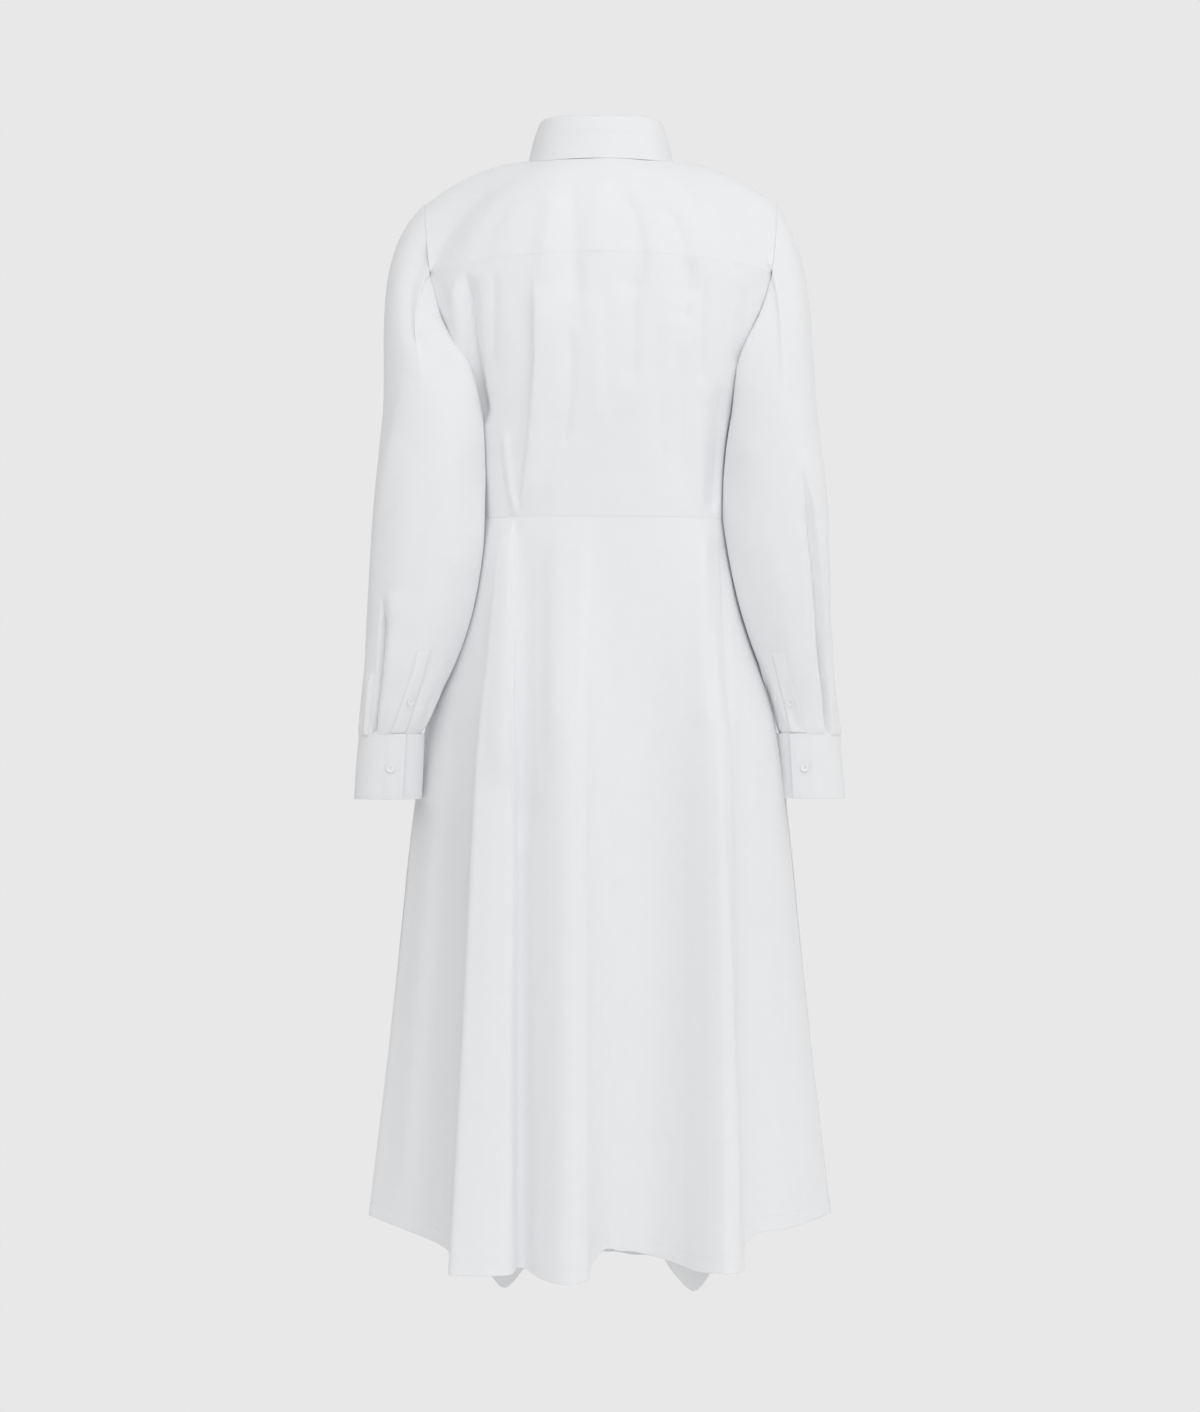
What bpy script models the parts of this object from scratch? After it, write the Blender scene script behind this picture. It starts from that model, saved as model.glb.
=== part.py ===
"""White cotton shirt dress, worn shape with empty body and sleeves.

Metres, +Z up, the wearer's front faces -Y and the wearer's left is +X.  The origin is the
middle of the neck opening at the height of the nape seam.  Every cutter's piece is a wall
of cloth built on a grid of points; tables are in millimetres and use "drop", the distance
below the nape seam.
"""
import bpy
import numpy as np

MM = 0.001

# ---- driving sizes, millimetres -------------------------------------------------------
WALL = 1.5                 # cloth wall of the panels and sleeves
WALL_STIFF = 1.8           # interlined collar, cuffs and plackets
SEAM_GAP = 0.6             # between two pieces sewn edge to edge
UNDERARM_DROP = 237.0      # bottom of the armhole
YOKE_DROP = 131.0          # back yoke seam where it meets the armhole
YOKE_RISE = 17.0           # the yoke seam is this much higher at centre back
WAIST_DROP = 396.0         # waist seam
PLACKET_HALF = 15.3        # half width of the front band
PLACKET_LIFT = 2.1         # the front band lies this far outside the front panels
NECK_HALF_WIDTH = 72.0
NECK_BACK = 60.0           # neck seam behind its widest line
NECK_FRONT = 72.0          # neck seam in front of its widest line
NECK_MIDDLE_Y = -8.0
NECK_SIDE_Z = -3.0
NECK_FRONT_FALL = 67.0     # centre front of the neck seam below its sides
NECK_YOKE_ANGLE = 107.0    # where the front yoke seam leaves the neck seam
SLEEVE_END_DROP = 630.2
CUFF_TOP_DROP = 630.9
CUFF_END_DROP = 702.0
CUFF_RADIUS = 33.2
CUFF_STEP = 2.9            # the over-lap end stands this far outside the under-lap
CUFF_LAP = 38.0            # degrees of overlap
BUTTON_RADIUS = 5.6
BUTTON_THICK = 2.2
SMALL_BUTTON_RADIUS = 4.8

# Body form: drop, half width, depth behind, depth in front
BODY_LEVELS = np.array((
    (113.0, 205.0, 111.0, 103.0),
    (131.0, 200.0, 112.0, 112.0),
    (165.0, 190.0, 112.5, 126.0),
    (200.0, 176.0, 112.0, 135.0),
    (237.0, 160.0, 110.0, 137.0),
    (262.0, 151.5, 108.0, 133.0),
    (300.0, 142.0, 104.0, 121.0),
    (350.0, 135.5, 100.0, 108.0),
    (396.0, 134.0, 98.0, 102.0),
))
ROUND_BACK = 2.4           # 2 is an ellipse, more is squarer
ROUND_FRONT = 2.1

# Armhole edge of the panels: drop, distance from the centre line behind, and in front
ARMHOLE_EDGE = np.array((
    (131.0, 186.0, 170.0),
    (165.0, 177.0, 164.0),
    (212.0, 167.5, 160.5),
    (230.0, 162.6, 161.2),
    (237.0, 160.0, 160.0),
))
# Armhole edge over the shoulder, from the back yoke seam to the front yoke seam: x, y, z
SHOULDER_EDGE = np.array((
    (186.0, 58.0, -131.0),
    (190.0, 45.0, -95.0),
    (192.5, 21.0, -63.0),
    (192.0, -6.0, -51.0),
    (188.0, -30.0, -67.0),
))
# Directions of the yoke cloth, centre back (0) to the front yoke seam (1): where it leaves
# the neck seam, and where it reaches its outer edge
YOKE_LEAVES = np.array((
    (0.00, 0.00, 0.80, -0.60),
    (0.25, 0.42, 0.68, -0.48),
    (0.50, 0.80, 0.48, -0.22),
    (0.75, 0.99, 0.10, 0.12),
    (1.00, 0.94, -0.20, -0.12),
))
YOKE_ARRIVES = np.array((
    (0.00, 0.00, 0.14, -0.99),
    (0.25, 0.06, 0.12, -0.98),
    (0.50, 0.42, 0.12, -0.90),
    (0.62, 0.62, 0.12, -0.78),
    (0.78, 0.74, 0.02, -0.67),
    (1.00, 0.74, -0.10, -0.66),
))

BODICE_ROWS = (395.7, 350.0, 306.0, 268.0, 237.0, 229.0, 208.0, 180.0, 154.0, 131.0)
UPPER_ROWS = 4

# Skirt width gained on the way from waist to hem: part of the way down, part of the gain
SKIRT_FLARE = np.array((
    (0.000, 0.00),
    (0.058, 0.09),
    (0.115, 0.17),
    (0.158, 0.24),
    (0.216, 0.345),
    (0.259, 0.43),
    (0.320, 0.51),
    (0.432, 0.60),
    (0.605, 0.71),
    (0.806, 0.85),
    (1.000, 1.00),
))
# Skirt hem, fold by fold: angle at the waist, hem x, y, z.  0 is centre back, 90 the
# wearer's left side, 180 centre front.
SKIRT_FOLDS = np.array((
    (-180.0, 0.0, -160.0, -1222.0),
    (-174.0, -16.0, -159.0, -1222.0),
    (-166.0, -36.0, -150.0, -1224.0),
    (-157.0, -52.0, -132.0, -1222.0),
    (-149.0, -70.0, -146.0, -1227.0),
    (-143.0, -86.0, -172.0, -1252.0),
    (-136.0, -109.0, -184.0, -1270.0),
    (-129.0, -134.0, -174.0, -1234.0),
    (-122.0, -156.0, -142.0, -1198.0),
    (-115.0, -184.0, -104.0, -1183.0),
    (-103.0, -224.0, -64.0, -1172.0),
    (-90.0, -252.0, 0.0, -1158.0),
    (-80.5, -199.0, 70.0, -1165.0),
    (-74.5, -156.0, 103.0, -1170.0),
    (-70.5, -151.0, 150.0, -1186.0),
    (-66.5, -144.0, 187.0, -1197.0),
    (-59.5, -124.0, 190.0, -1198.0),
    (-50.0, -106.0, 165.0, -1199.0),
    (-37.5, -84.0, 141.0, -1196.0),
    (-24.5, -52.0, 130.0, -1190.0),
    (-9.0, -20.0, 128.0, -1185.0),
    (1.5, 7.0, 140.0, -1188.0),
    (4.5, 13.0, 182.0, -1200.0),
    (9.5, 22.0, 201.0, -1207.0),
    (20.5, 44.0, 203.0, -1208.0),
    (31.5, 70.0, 186.0, -1203.0),
    (38.5, 88.0, 173.0, -1197.0),
    (41.0, 99.0, 193.0, -1199.0),
    (44.5, 127.0, 198.0, -1200.0),
    (49.0, 160.0, 168.0, -1196.0),
    (55.0, 166.0, 112.0, -1176.0),
    (68.0, 209.0, 70.0, -1167.0),
    (90.0, 255.0, 0.0, -1160.0),
    (104.0, 227.0, -62.0, -1172.0),
    (115.0, 188.0, -102.0, -1186.0),
    (123.0, 158.0, -140.0, -1222.0),
    (130.0, 132.0, -173.0, -1243.0),
    (136.5, 110.0, -183.0, -1267.0),
    (143.0, 84.0, -168.0, -1238.0),
    (150.0, 66.0, -142.0, -1224.0),
    (158.0, 50.0, -130.0, -1220.0),
    (167.0, 33.0, -145.0, -1222.0),
    (174.0, 16.0, -158.0, -1222.0),
    (180.0, 0.0, -160.0, -1222.0),
))
SKIRT_ROWS = (0.0, 0.09, 0.20, 0.32, 0.48, 0.66, 0.84, 1.0)

# Sleeves below the armhole: drop, centre x, centre y, half width, half depth
SLEEVE_LEFT = np.array((
    (292.0, 181.5, 44.0, 56.5, 60.0),
    (330.0, 183.0, 50.0, 58.5, 58.0),
    (374.0, 186.0, 54.0, 60.0, 55.0),
    (440.0, 189.5, 57.0, 60.5, 50.0),
    (484.0, 194.5, 56.0, 58.0, 47.0),
    (517.0, 199.5, 54.0, 54.5, 45.0),
    (561.0, 208.5, 50.0, 47.5, 42.0),
    (600.0, 220.5, 45.0, 40.0, 38.5),
    (622.0, 227.5, 41.0, 35.8, 35.5),
    (630.2, 230.5, 39.5, 33.0, 33.0),
))
SLEEVE_RIGHT = np.array((
    (292.0, 188.5, 24.0, 49.5, 58.0),
    (330.0, 190.0, 28.0, 52.5, 56.0),
    (374.0, 192.5, 30.0, 54.5, 53.0),
    (440.0, 196.5, 30.0, 54.0, 49.0),
    (484.0, 200.5, 25.0, 51.0, 46.0),
    (517.0, 205.0, 18.0, 47.5, 44.0),
    (561.0, 213.5, 6.0, 41.5, 40.5),
    (600.0, 223.5, -4.0, 36.5, 36.5),
    (622.0, 228.4, -8.0, 34.2, 34.0),
    (630.2, 230.8, -9.5, 32.8, 32.8),
))
SLEEVE_COLUMNS = 22
SLEEVE_CLEAR = 3.2         # sleeve cloth stays this far outside the body and the skirt
CUFF_CENTRES = {1: (230.5, 39.5, 235.0, 34.5), -1: (230.9, -9.5, 235.8, -11.5)}
# Sleeve placket: angle round the sleeve from its outer line, over the back
SLEEVE_SLIT = {1: 108.0, -1: 116.0}
SLIT_TOP_DROP = 541.0
SLIT_HALF = 9.0

# Collar guide lines, centre back to centre front: station, then x, y, z of the top of the
# stand, the fold, the middle of the fall and its lower edge
COLLAR = np.array((
    (0.00, 0, 49, 27, 0, 51, 41, 0, 60, 20, 0, 64, -1),
    (0.22, 47, 34, 27, 47, 36, 42, 56, 42, 20, 60, 45, -1),
    (0.45, 65, -8, 25, 63, -8, 40, 74, -8, 20, 81, -9, 2),
    (0.66, 56, -47, 0, 56, -49, 14, 69, -54, -6, 77, -58, -26),
    (0.84, 32, -68, -30, 33, -73, -18, 48, -84, -42, 62, -90, -64),
    (0.96, 10, -75, -42, 11, -81, -31, 28, -95, -60, 45, -104, -93),
))


def smooth(table, at):
    """Read the columns of a table between its rows with a smooth curve."""
    keys = table[:, 0]
    values = table[:, 1:]
    at = np.clip(np.asarray(at, float), keys[0], keys[-1])
    slope = np.gradient(values, keys, axis=0)
    low = np.clip(np.searchsorted(keys, at, side="right") - 1, 0, len(keys) - 2)
    span = keys[low + 1] - keys[low]
    t = ((at - keys[low]) / span)[..., None]
    span = span[..., None]
    start = (2 * t**3 - 3 * t**2 + 1) * values[low] + (t**3 - 2 * t**2 + t) * span * slope[low]
    end = (3 * t**2 - 2 * t**3) * values[low + 1] + (t**3 - t**2) * span * slope[low + 1]
    return start + end


def resample(points, count):
    """The same line with points spaced evenly along it."""
    steps = np.linalg.norm(np.diff(points, axis=0), axis=1)
    along = np.concatenate(([0.0], np.cumsum(steps)))
    wanted = np.linspace(0.0, along[-1], count)
    return np.stack([np.interp(wanted, along, points[:, axis]) for axis in range(3)], axis=1)


def through(points, count):
    """A smooth line through a few points."""
    steps = np.linalg.norm(np.diff(points, axis=0), axis=1)
    along = np.concatenate(([0.0], np.cumsum(steps)))
    dense = smooth(np.column_stack((along, points)), np.linspace(0.0, along[-1], 200))
    return resample(dense, count)


def mirrored(points):
    return np.asarray(points) * np.array((-1.0, 1.0, 1.0))


def unit(vectors):
    return vectors / np.linalg.norm(vectors, axis=-1, keepdims=True)


def hermite(start, leave, end, arrive, count):
    """Curves from start to end that leave and arrive along the given directions."""
    t = np.linspace(0.0, 1.0, count)[:, None, None]
    reach = np.linalg.norm(end - start, axis=-1, keepdims=True)
    return (
        (2 * t**3 - 3 * t**2 + 1) * start
        + (t**3 - 2 * t**2 + t) * reach * unit(leave)
        + (3 * t**2 - 2 * t**3) * end
        + (t**3 - t**2) * reach * unit(arrive)
    )


# ---- the form ---------------------------------------------------------------------------
def body_point(drop, theta):
    """Body form; theta in degrees, 0 at centre back and 90 at the wearer's left."""
    drop = np.asarray(drop, float)
    size = smooth(BODY_LEVELS, drop)
    angle = np.radians(np.asarray(theta, float))
    sine = np.sin(angle)
    cosine = np.cos(angle)
    power = np.where(cosine >= 0, 2 / ROUND_BACK, 2 / ROUND_FRONT)
    depth = np.where(cosine >= 0, size[..., 1], size[..., 2])
    x = np.sign(sine) * size[..., 0] * np.abs(sine) ** power
    y = np.sign(cosine) * depth * np.abs(cosine) ** power
    return np.stack(np.broadcast_arrays(x, y, -drop), axis=-1)


def theta_at(x, drop, front):
    """Angle of the form where its surface is x from the centre line."""
    half = smooth(BODY_LEVELS, drop)[..., 0]
    power = (ROUND_FRONT if front else ROUND_BACK) / 2
    angle = np.degrees(np.arcsin(np.clip(abs(x) / half, 0.0, 1.0) ** power))
    angle = 180.0 - angle if front else angle
    return np.copysign(angle, x)


def edge_theta(drop, front):
    """Angle of the side seam, or of the armhole edge above the underarm."""
    if drop >= UNDERARM_DROP:
        depth = smooth(BODY_LEVELS, drop)[2 if front else 1]
        power = (ROUND_FRONT if front else ROUND_BACK) / 2
        turn = np.degrees(np.arccos((SEAM_GAP / depth) ** power))
        return float(180.0 - turn if front else turn)
    edge = smooth(ARMHOLE_EDGE, drop)
    return float(theta_at(edge[1] if front else edge[0], drop, front))


def neck_point(theta):
    """Neck seam; theta as on the form."""
    angle = np.radians(np.asarray(theta, float))
    cosine = np.cos(angle)
    x = NECK_HALF_WIDTH * np.sin(angle)
    y = NECK_MIDDLE_Y + np.where(cosine >= 0, NECK_BACK, NECK_FRONT) * cosine
    z = NECK_SIDE_Z - NECK_FRONT_FALL * np.clip(-cosine, 0.0, 1.0) ** 1.6
    return np.stack((x, y, z), axis=-1)


def body_row(drop, start, end, count):
    """Evenly spaced points of the form between two angles, with their angles."""
    theta = np.linspace(start, end, 241)
    points = body_point(np.full_like(theta, drop), theta)
    steps = np.linalg.norm(np.diff(points, axis=0), axis=1)
    along = np.concatenate(([0.0], np.cumsum(steps)))
    return np.interp(np.linspace(0.0, along[-1], count), along, theta)


def skirt_point(part, theta):
    """Skirt surface; part is 0 at the waist seam and 1 at the hem."""
    part = np.asarray(part, float)
    waist = body_point(np.full(np.shape(theta), WAIST_DROP + 0.3), theta)
    hem = smooth(SKIRT_FOLDS, theta)
    gain = smooth(SKIRT_FLARE, part)
    point = waist + (hem - waist) * gain
    z = waist[..., 2] + (hem[..., 2] - waist[..., 2]) * part
    return np.concatenate((point[..., :2], z[..., None]), axis=-1)


# ---- pieces of the body -----------------------------------------------------------------
def front_yoke_seam():
    """Seam of the yoke in front of the shoulder, neck to armhole."""
    start = neck_point(np.array([NECK_YOKE_ANGLE]))
    end = SHOULDER_EDGE[-1:]
    return hermite(start, YOKE_LEAVES[-1:, 1:], end, YOKE_ARRIVES[-1:, 1:], 60)[:, 0]


def back_bodice_grid(columns):
    rows = []
    for drop in BODICE_ROWS:
        limit = edge_theta(drop, False)
        theta = body_row(drop, -limit, limit, columns)
        across = np.linspace(-1.0, 1.0, columns)
        near_top = np.clip((UNDERARM_DROP - drop) / (UNDERARM_DROP - YOKE_DROP), 0.0, 1.0)
        rise = YOKE_RISE * near_top**1.5 * (1.0 - across**2)
        rows.append(body_point(drop - rise, theta))
    return np.array(rows)


def front_bodice_grid(side, columns, corner):
    """side is 1 for the wearer's left front, which runs under the band."""
    edge_x = -12.0 * side if side > 0 else 16.2
    rows = []
    for drop in BODICE_ROWS:
        limit = edge_theta(drop, True)
        start = 180.0 + (180.0 - abs(theta_at(edge_x, drop, True))) * (1 if side > 0 else -1)
        theta = body_row(drop, start, limit, columns)
        rows.append(body_point(np.full(columns, drop), theta))
    lower = np.array(rows)
    neck_start = 180.0 + (np.degrees(np.arcsin(12.0 / NECK_HALF_WIDTH)) if side > 0 else
                          -np.degrees(np.arcsin(16.2 / NECK_HALF_WIDTH)))
    neckline = resample(neck_point(np.linspace(neck_start, NECK_YOKE_ANGLE, 60)), corner + 1)
    seam = resample(front_yoke_seam(), columns - corner)
    top = np.concatenate((neckline, seam[1:]))
    across = np.linspace(0.0, 1.0, columns)
    arrive = smooth(np.array((
        (0.0, 0.0, 0.55, 0.83),
        (corner / (columns - 1), 0.0, 0.80, 0.60),
        (1.0, 0.10, 0.72, 0.69),
    )), across)
    top = top - unit(arrive) * 2 * SEAM_GAP
    leave = lower[-1] - lower[-2]
    upper = hermite(lower[-1], leave, top, arrive, UPPER_ROWS + 1)[1:]
    grid = np.concatenate((lower, upper))
    return grid if side > 0 else mirrored(grid)


def yoke_grid(half, corner, rows):
    """Yoke over both shoulders, neck seam outwards."""
    span = np.concatenate((
        np.linspace(0.0, 52.0, corner + 1),
        np.linspace(52.0, NECK_YOKE_ANGLE, half - corner)[1:],
    ))
    inner = neck_point(span)
    back = back_bodice_grid(41)[-1][20:]
    back = resample(back, corner + 1) + np.array((0.0, 0.0, SEAM_GAP))
    outer = np.concatenate((back, through(SHOULDER_EDGE, half - corner)[1:]))
    station = np.linspace(0.0, 1.0, half)
    leave = smooth(YOKE_LEAVES, station)
    arrive = smooth(YOKE_ARRIVES, station)
    grid = hermite(inner, leave, outer, arrive, rows)
    return np.concatenate((mirrored(grid[:, :0:-1]), grid), axis=1)


def placket_grid(columns):
    """Front band from the neck seam to the hem."""
    across = np.linspace(-PLACKET_HALF, PLACKET_HALF, columns)
    rows = []
    for drop in BODICE_ROWS[:-1]:
        theta = np.array([theta_at(x if abs(x) > 0.1 else 0.1, drop, True) for x in across])
        rows.append(body_point(np.full(columns, drop), theta))
    left = front_bodice_grid(1, 33, 12)
    for row in left[len(BODICE_ROWS) - 1:]:
        order = np.argsort(row[:13, 0])
        y = np.interp(across, row[order, 0], row[order, 1])
        z = np.interp(across, row[order, 0], row[order, 2])
        rows.append(np.column_stack((across, y, z)))
    rows = rows[::-1]
    for part in SKIRT_ROWS[1:]:
        theta = 180.0 - across * (6.0 / 16.4)
        theta = np.where(theta > 180.0, theta - 360.0, theta)
        row = skirt_point(np.full(columns, part), theta)
        row[:, 0] = across
        rows.append(row)
    grid = np.array(rows)
    out = np.zeros_like(grid)
    out[..., 1] = -1.0
    tangent = np.gradient(grid, axis=0)
    normal = np.stack((np.zeros(grid.shape[:2]), tangent[..., 2], -tangent[..., 1]), axis=-1)
    normal = unit(normal)
    grid = grid + normal * PLACKET_LIFT
    grid[0, :, 2] -= 0.3
    return grid


# ---- sleeves ----------------------------------------------------------------------------
def armhole_loop():
    """Armhole edge of the wearer's left, from the shoulder over the back and round."""
    shoulder = through(SHOULDER_EDGE, 81)
    top = int(np.argmax(shoulder[:, 2]))
    drops = np.linspace(YOKE_DROP, UNDERARM_DROP, 80)
    back = np.array([body_point(d, edge_theta(d, False)) for d in drops])
    front = np.array([body_point(d, edge_theta(d, True)) for d in drops[::-1]])
    upper = front_bodice_grid(1, 33, 12)[len(BODICE_ROWS):, -1]
    loop = np.concatenate((shoulder[top::-1], back[1:], front[1:], upper, shoulder[:top:-1]))
    return np.concatenate((loop, loop[:1]))


def side_limit(y, drop):
    """Distance from the centre line to the outside of the garment at a point beside it."""
    if drop < WAIST_DROP:
        theta = np.linspace(10.0, 170.0, 161)
        line = body_point(np.full_like(theta, max(drop, UNDERARM_DROP)), theta)
    else:
        theta = np.linspace(48.0, 132.0, 121)
        part = np.full_like(theta, (drop - WAIST_DROP) / 765.0)
        line = skirt_point(part, theta)
    order = np.argsort(line[:, 1])
    return np.interp(y, line[order, 1], line[order, 0], left=0.0, right=0.0)


def sleeve_ring(side, drop, angles):
    """Points round the sleeve; 0 is its outer line, 90 its back, 180 next to the body."""
    table = SLEEVE_LEFT if side > 0 else SLEEVE_RIGHT
    size = smooth(table, np.array([drop]))[0]
    angle = np.radians(angles)
    x = size[0] + size[2] * np.cos(angle)
    y = size[1] + size[3] * np.sin(angle)
    limit = side_limit(y, drop) + SLEEVE_CLEAR
    x = np.maximum(x, limit)
    return np.stack((x, y, np.full_like(x, -drop)), axis=-1)


def sleeve_grid(side, columns):
    angles = np.linspace(0.0, 360.0, columns, endpoint=False)
    loop = resample(armhole_loop(), columns + 1)[:-1]
    closeness = (1.0 - np.cos(np.radians(angles))) / 2
    loop = loop + np.array((1.0, 0.0, -0.1)) * (1.1 + 1.6 * closeness[:, None] ** 2)
    first = sleeve_ring(side, 292.0, angles)
    down = sleeve_ring(side, 300.0, angles) - first
    swing = np.radians(angles)
    leave = np.stack((
        (0.44 if side > 0 else 0.32) - 0.05 * closeness,
        0.16 * np.sin(swing),
        -0.50 - 0.50 * closeness,
    ), axis=-1)
    head = hermite(loop, leave, first, down, 5)
    head = head.copy()
    for row in head[1:]:
        limit = np.array([side_limit(p[1], -p[2]) for p in row]) + SLEEVE_CLEAR
        low = row[:, 2] < -UNDERARM_DROP
        row[:, 0] = np.where(low, np.maximum(row[:, 0], limit), row[:, 0])
    drops = (335.0, 388.0, 440.0, 486.0, 525.0, 561.0, 592.0, 615.0, SLEEVE_END_DROP)
    rows = [sleeve_ring(side, drop, angles) for drop in drops]
    grid = np.concatenate((head, np.array(rows)))
    return grid if side > 0 else mirrored(grid)


def sleeve_placket_grid(side):
    middle = SLEEVE_SLIT[side]
    rows = []
    for drop in np.linspace(SLIT_TOP_DROP, SLEEVE_END_DROP - 1.0, 6):
        size = smooth(SLEEVE_LEFT if side > 0 else SLEEVE_RIGHT, np.array([drop]))[0]
        swing = np.degrees(SLIT_HALF / size[2:].mean())
        angles = np.linspace(middle - swing, middle + swing, 5)
        rows.append(sleeve_ring(side, drop, angles))
    grid = np.array(rows)
    out = unit(np.cross(np.gradient(grid, axis=1), np.gradient(grid, axis=0)))
    centre = np.array((size[0], size[1], 0.0))
    if np.sum(out[-1, 2] * (grid[-1, 2] - centre) * np.array((1, 1, 0))) < 0:
        out = -out
    grid = grid + out * 2.4
    return grid if side > 0 else mirrored(grid)


def cuff_grid(side, columns):
    """Cuff strip; its over-lap end lies outside its under-lap end at the back."""
    turn = 360.0 + CUFF_LAP
    top_x, top_y, low_x, low_y = CUFF_CENTRES[side]
    start = SLEEVE_SLIT[side] + 14.0
    angle = np.radians(np.linspace(start, start - turn, columns))
    gone = np.linspace(0.0, turn, columns)
    step = CUFF_STEP * (1.0 - np.clip(gone / 90.0, 0.0, 1.0)) ** 2
    rows = []
    for drop in np.linspace(CUFF_TOP_DROP, CUFF_END_DROP, 3):
        part = (drop - CUFF_TOP_DROP) / (CUFF_END_DROP - CUFF_TOP_DROP)
        radius = CUFF_RADIUS + step - 0.8 * (1.0 - part)
        x = top_x + (low_x - top_x) * part + radius * np.cos(angle)
        y = top_y + (low_y - top_y) * part + radius * np.sin(angle)
        rows.append(np.stack((x, y, np.full_like(x, -drop)), axis=-1))
    grid = np.array(rows)
    return grid if side > 0 else mirrored(grid)


# ---- collar -----------------------------------------------------------------------------
def collar_stations(end, columns):
    station = np.linspace(-end, end, columns)
    guides = smooth(COLLAR, np.abs(station))
    guides = guides.reshape(columns, 4, 3).copy()
    guides[:, :, 0] *= np.sign(station)[:, None]
    return station, guides


def stand_grid(columns):
    station = np.linspace(-1.03, 1.03, columns)
    angle = np.interp(np.abs(station), (0.0, 0.22, 0.45, 0.66, 0.84, 1.0, 1.03),
                      (0.0, 41.0, 90.0, 128.0, 154.0, 180.0, 188.0))
    bottom = neck_point(angle * np.sign(station))
    sizes = smooth(COLLAR, np.minimum(np.abs(station), 0.96))[:, :3]
    top = sizes.copy()
    beyond = np.interp(np.abs(station), (0.96, 1.03), (10.0, -10.0))
    top[:, 0] = np.where(np.abs(station) > 0.96, beyond, top[:, 0]) * np.sign(station)
    top[:, 1] = np.where(np.abs(station) > 0.96, -75.0 - 0.4 * (1 - np.abs(beyond) / 10), top[:, 1])
    top[:, 2] = np.where(np.abs(station) > 0.96, -43.0, top[:, 2])
    bottom = bottom + np.array((0.0, 0.0, 2.1))
    lift = np.clip((station - 0.70) / 0.22, 0.0, 1.0)
    under = np.clip((-station - 0.70) / 0.22, 0.0, 1.0)
    shift = np.zeros_like(bottom)
    shift[:, 1] = -1.3 * (3 * under**2 - 2 * under**3) + 1.3 * (3 * lift**2 - 2 * lift**3)
    return np.array([bottom + (top - bottom) * part + shift for part in (0.0, 0.5, 1.0)])


def fall_grid(columns):
    station, guides = collar_stations(0.96, columns)
    along = np.gradient(guides[:, 1], axis=0)
    outward = np.stack((-along[:, 1], along[:, 0], np.zeros(columns)), axis=-1)
    outward = unit(outward)
    facing = np.sign(np.sum(outward * guides[:, 1] * np.array((1, 1, 0)), axis=1))
    outward = outward * facing[:, None]
    up = np.array((0.0, 0.0, 1.0))
    base = guides[:, 0] + up * 1.7
    top = guides[:, 1]
    low = guides[:, 3]
    middle = guides[:, 2]
    rows = (
        base,
        base * 0.35 + (top - outward * 2.2 - up * 3.0) * 0.65,
        top - outward * 1.8 - up * 1.1,
        top + outward * 1.2,
        top + outward * 3.9 - up * 2.2,
        (top + outward * 5.0 - up * 5.0) * 0.5 + middle * 0.5 + outward * 0.6,
        middle,
        middle * 0.5 + low * 0.5,
        low,
    )
    return np.array(rows)


# ---- solids -----------------------------------------------------------------------------
def material(name, colour, rough):
    made = bpy.data.materials.new(name)
    made.use_nodes = True
    shader = made.node_tree.nodes["Principled BSDF"]
    shader.inputs["Base Color"].default_value = (*colour, 1.0)
    shader.inputs["Roughness"].default_value = rough
    made.diffuse_color = (*colour, 1.0)
    return made


def solid(name, points, faces, look):
    mesh = bpy.data.meshes.new(name)
    mesh.from_pydata([tuple(p) for p in np.asarray(points) * MM], [], faces)
    mesh.materials.append(look)
    mesh.update()
    made = bpy.data.objects.new(name, mesh)
    bpy.context.collection.objects.link(made)
    return made


def grid_normals(grid, closed):
    if closed:
        around = np.roll(grid, -1, axis=1) - np.roll(grid, 1, axis=1)
    else:
        around = np.gradient(grid, axis=1)
    return unit(np.cross(around, np.gradient(grid, axis=0)))


def wall(name, grid, thick, look, closed=False, outward=None):
    """Closed wall of cloth, half its thickness on each side of the grid."""
    normal = grid_normals(grid, closed)
    if outward is not None:
        probe = normal.shape[0] // 2, normal.shape[1] // 2
        if np.dot(normal[probe], outward) < 0:
            normal = -normal
    rows, columns = grid.shape[:2]
    outer = grid + normal * thick / 2
    inner = grid - normal * thick / 2
    points = np.concatenate((outer.reshape(-1, 3), inner.reshape(-1, 3)))
    total = rows * columns
    faces = []
    spans = columns if closed else columns - 1
    for i in range(rows - 1):
        for j in range(spans):
            k = (j + 1) % columns
            a, b = i * columns + j, i * columns + k
            c, d = (i + 1) * columns + k, (i + 1) * columns + j
            faces.append((a, b, c, d))
            faces.append((total + d, total + c, total + b, total + a))
    for j in range(spans):
        k = (j + 1) % columns
        last = (rows - 1) * columns
        faces.append((k, j, total + j, total + k))
        faces.append((last + j, last + k, total + last + k, total + last + j))
    if not closed:
        for i in range(rows - 1):
            a, d = i * columns, (i + 1) * columns
            faces.append((a, d, total + d, total + a))
            a, d = a + columns - 1, d + columns - 1
            faces.append((d, a, total + a, total + d))
    edge_one = points[faces[0][1]] - points[faces[0][0]]
    edge_two = points[faces[0][3]] - points[faces[0][0]]
    if np.dot(np.cross(edge_one, edge_two), normal[0, 0]) < 0:
        faces = [tuple(reversed(face)) for face in faces]
    return solid(name, points, faces, look)


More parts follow.
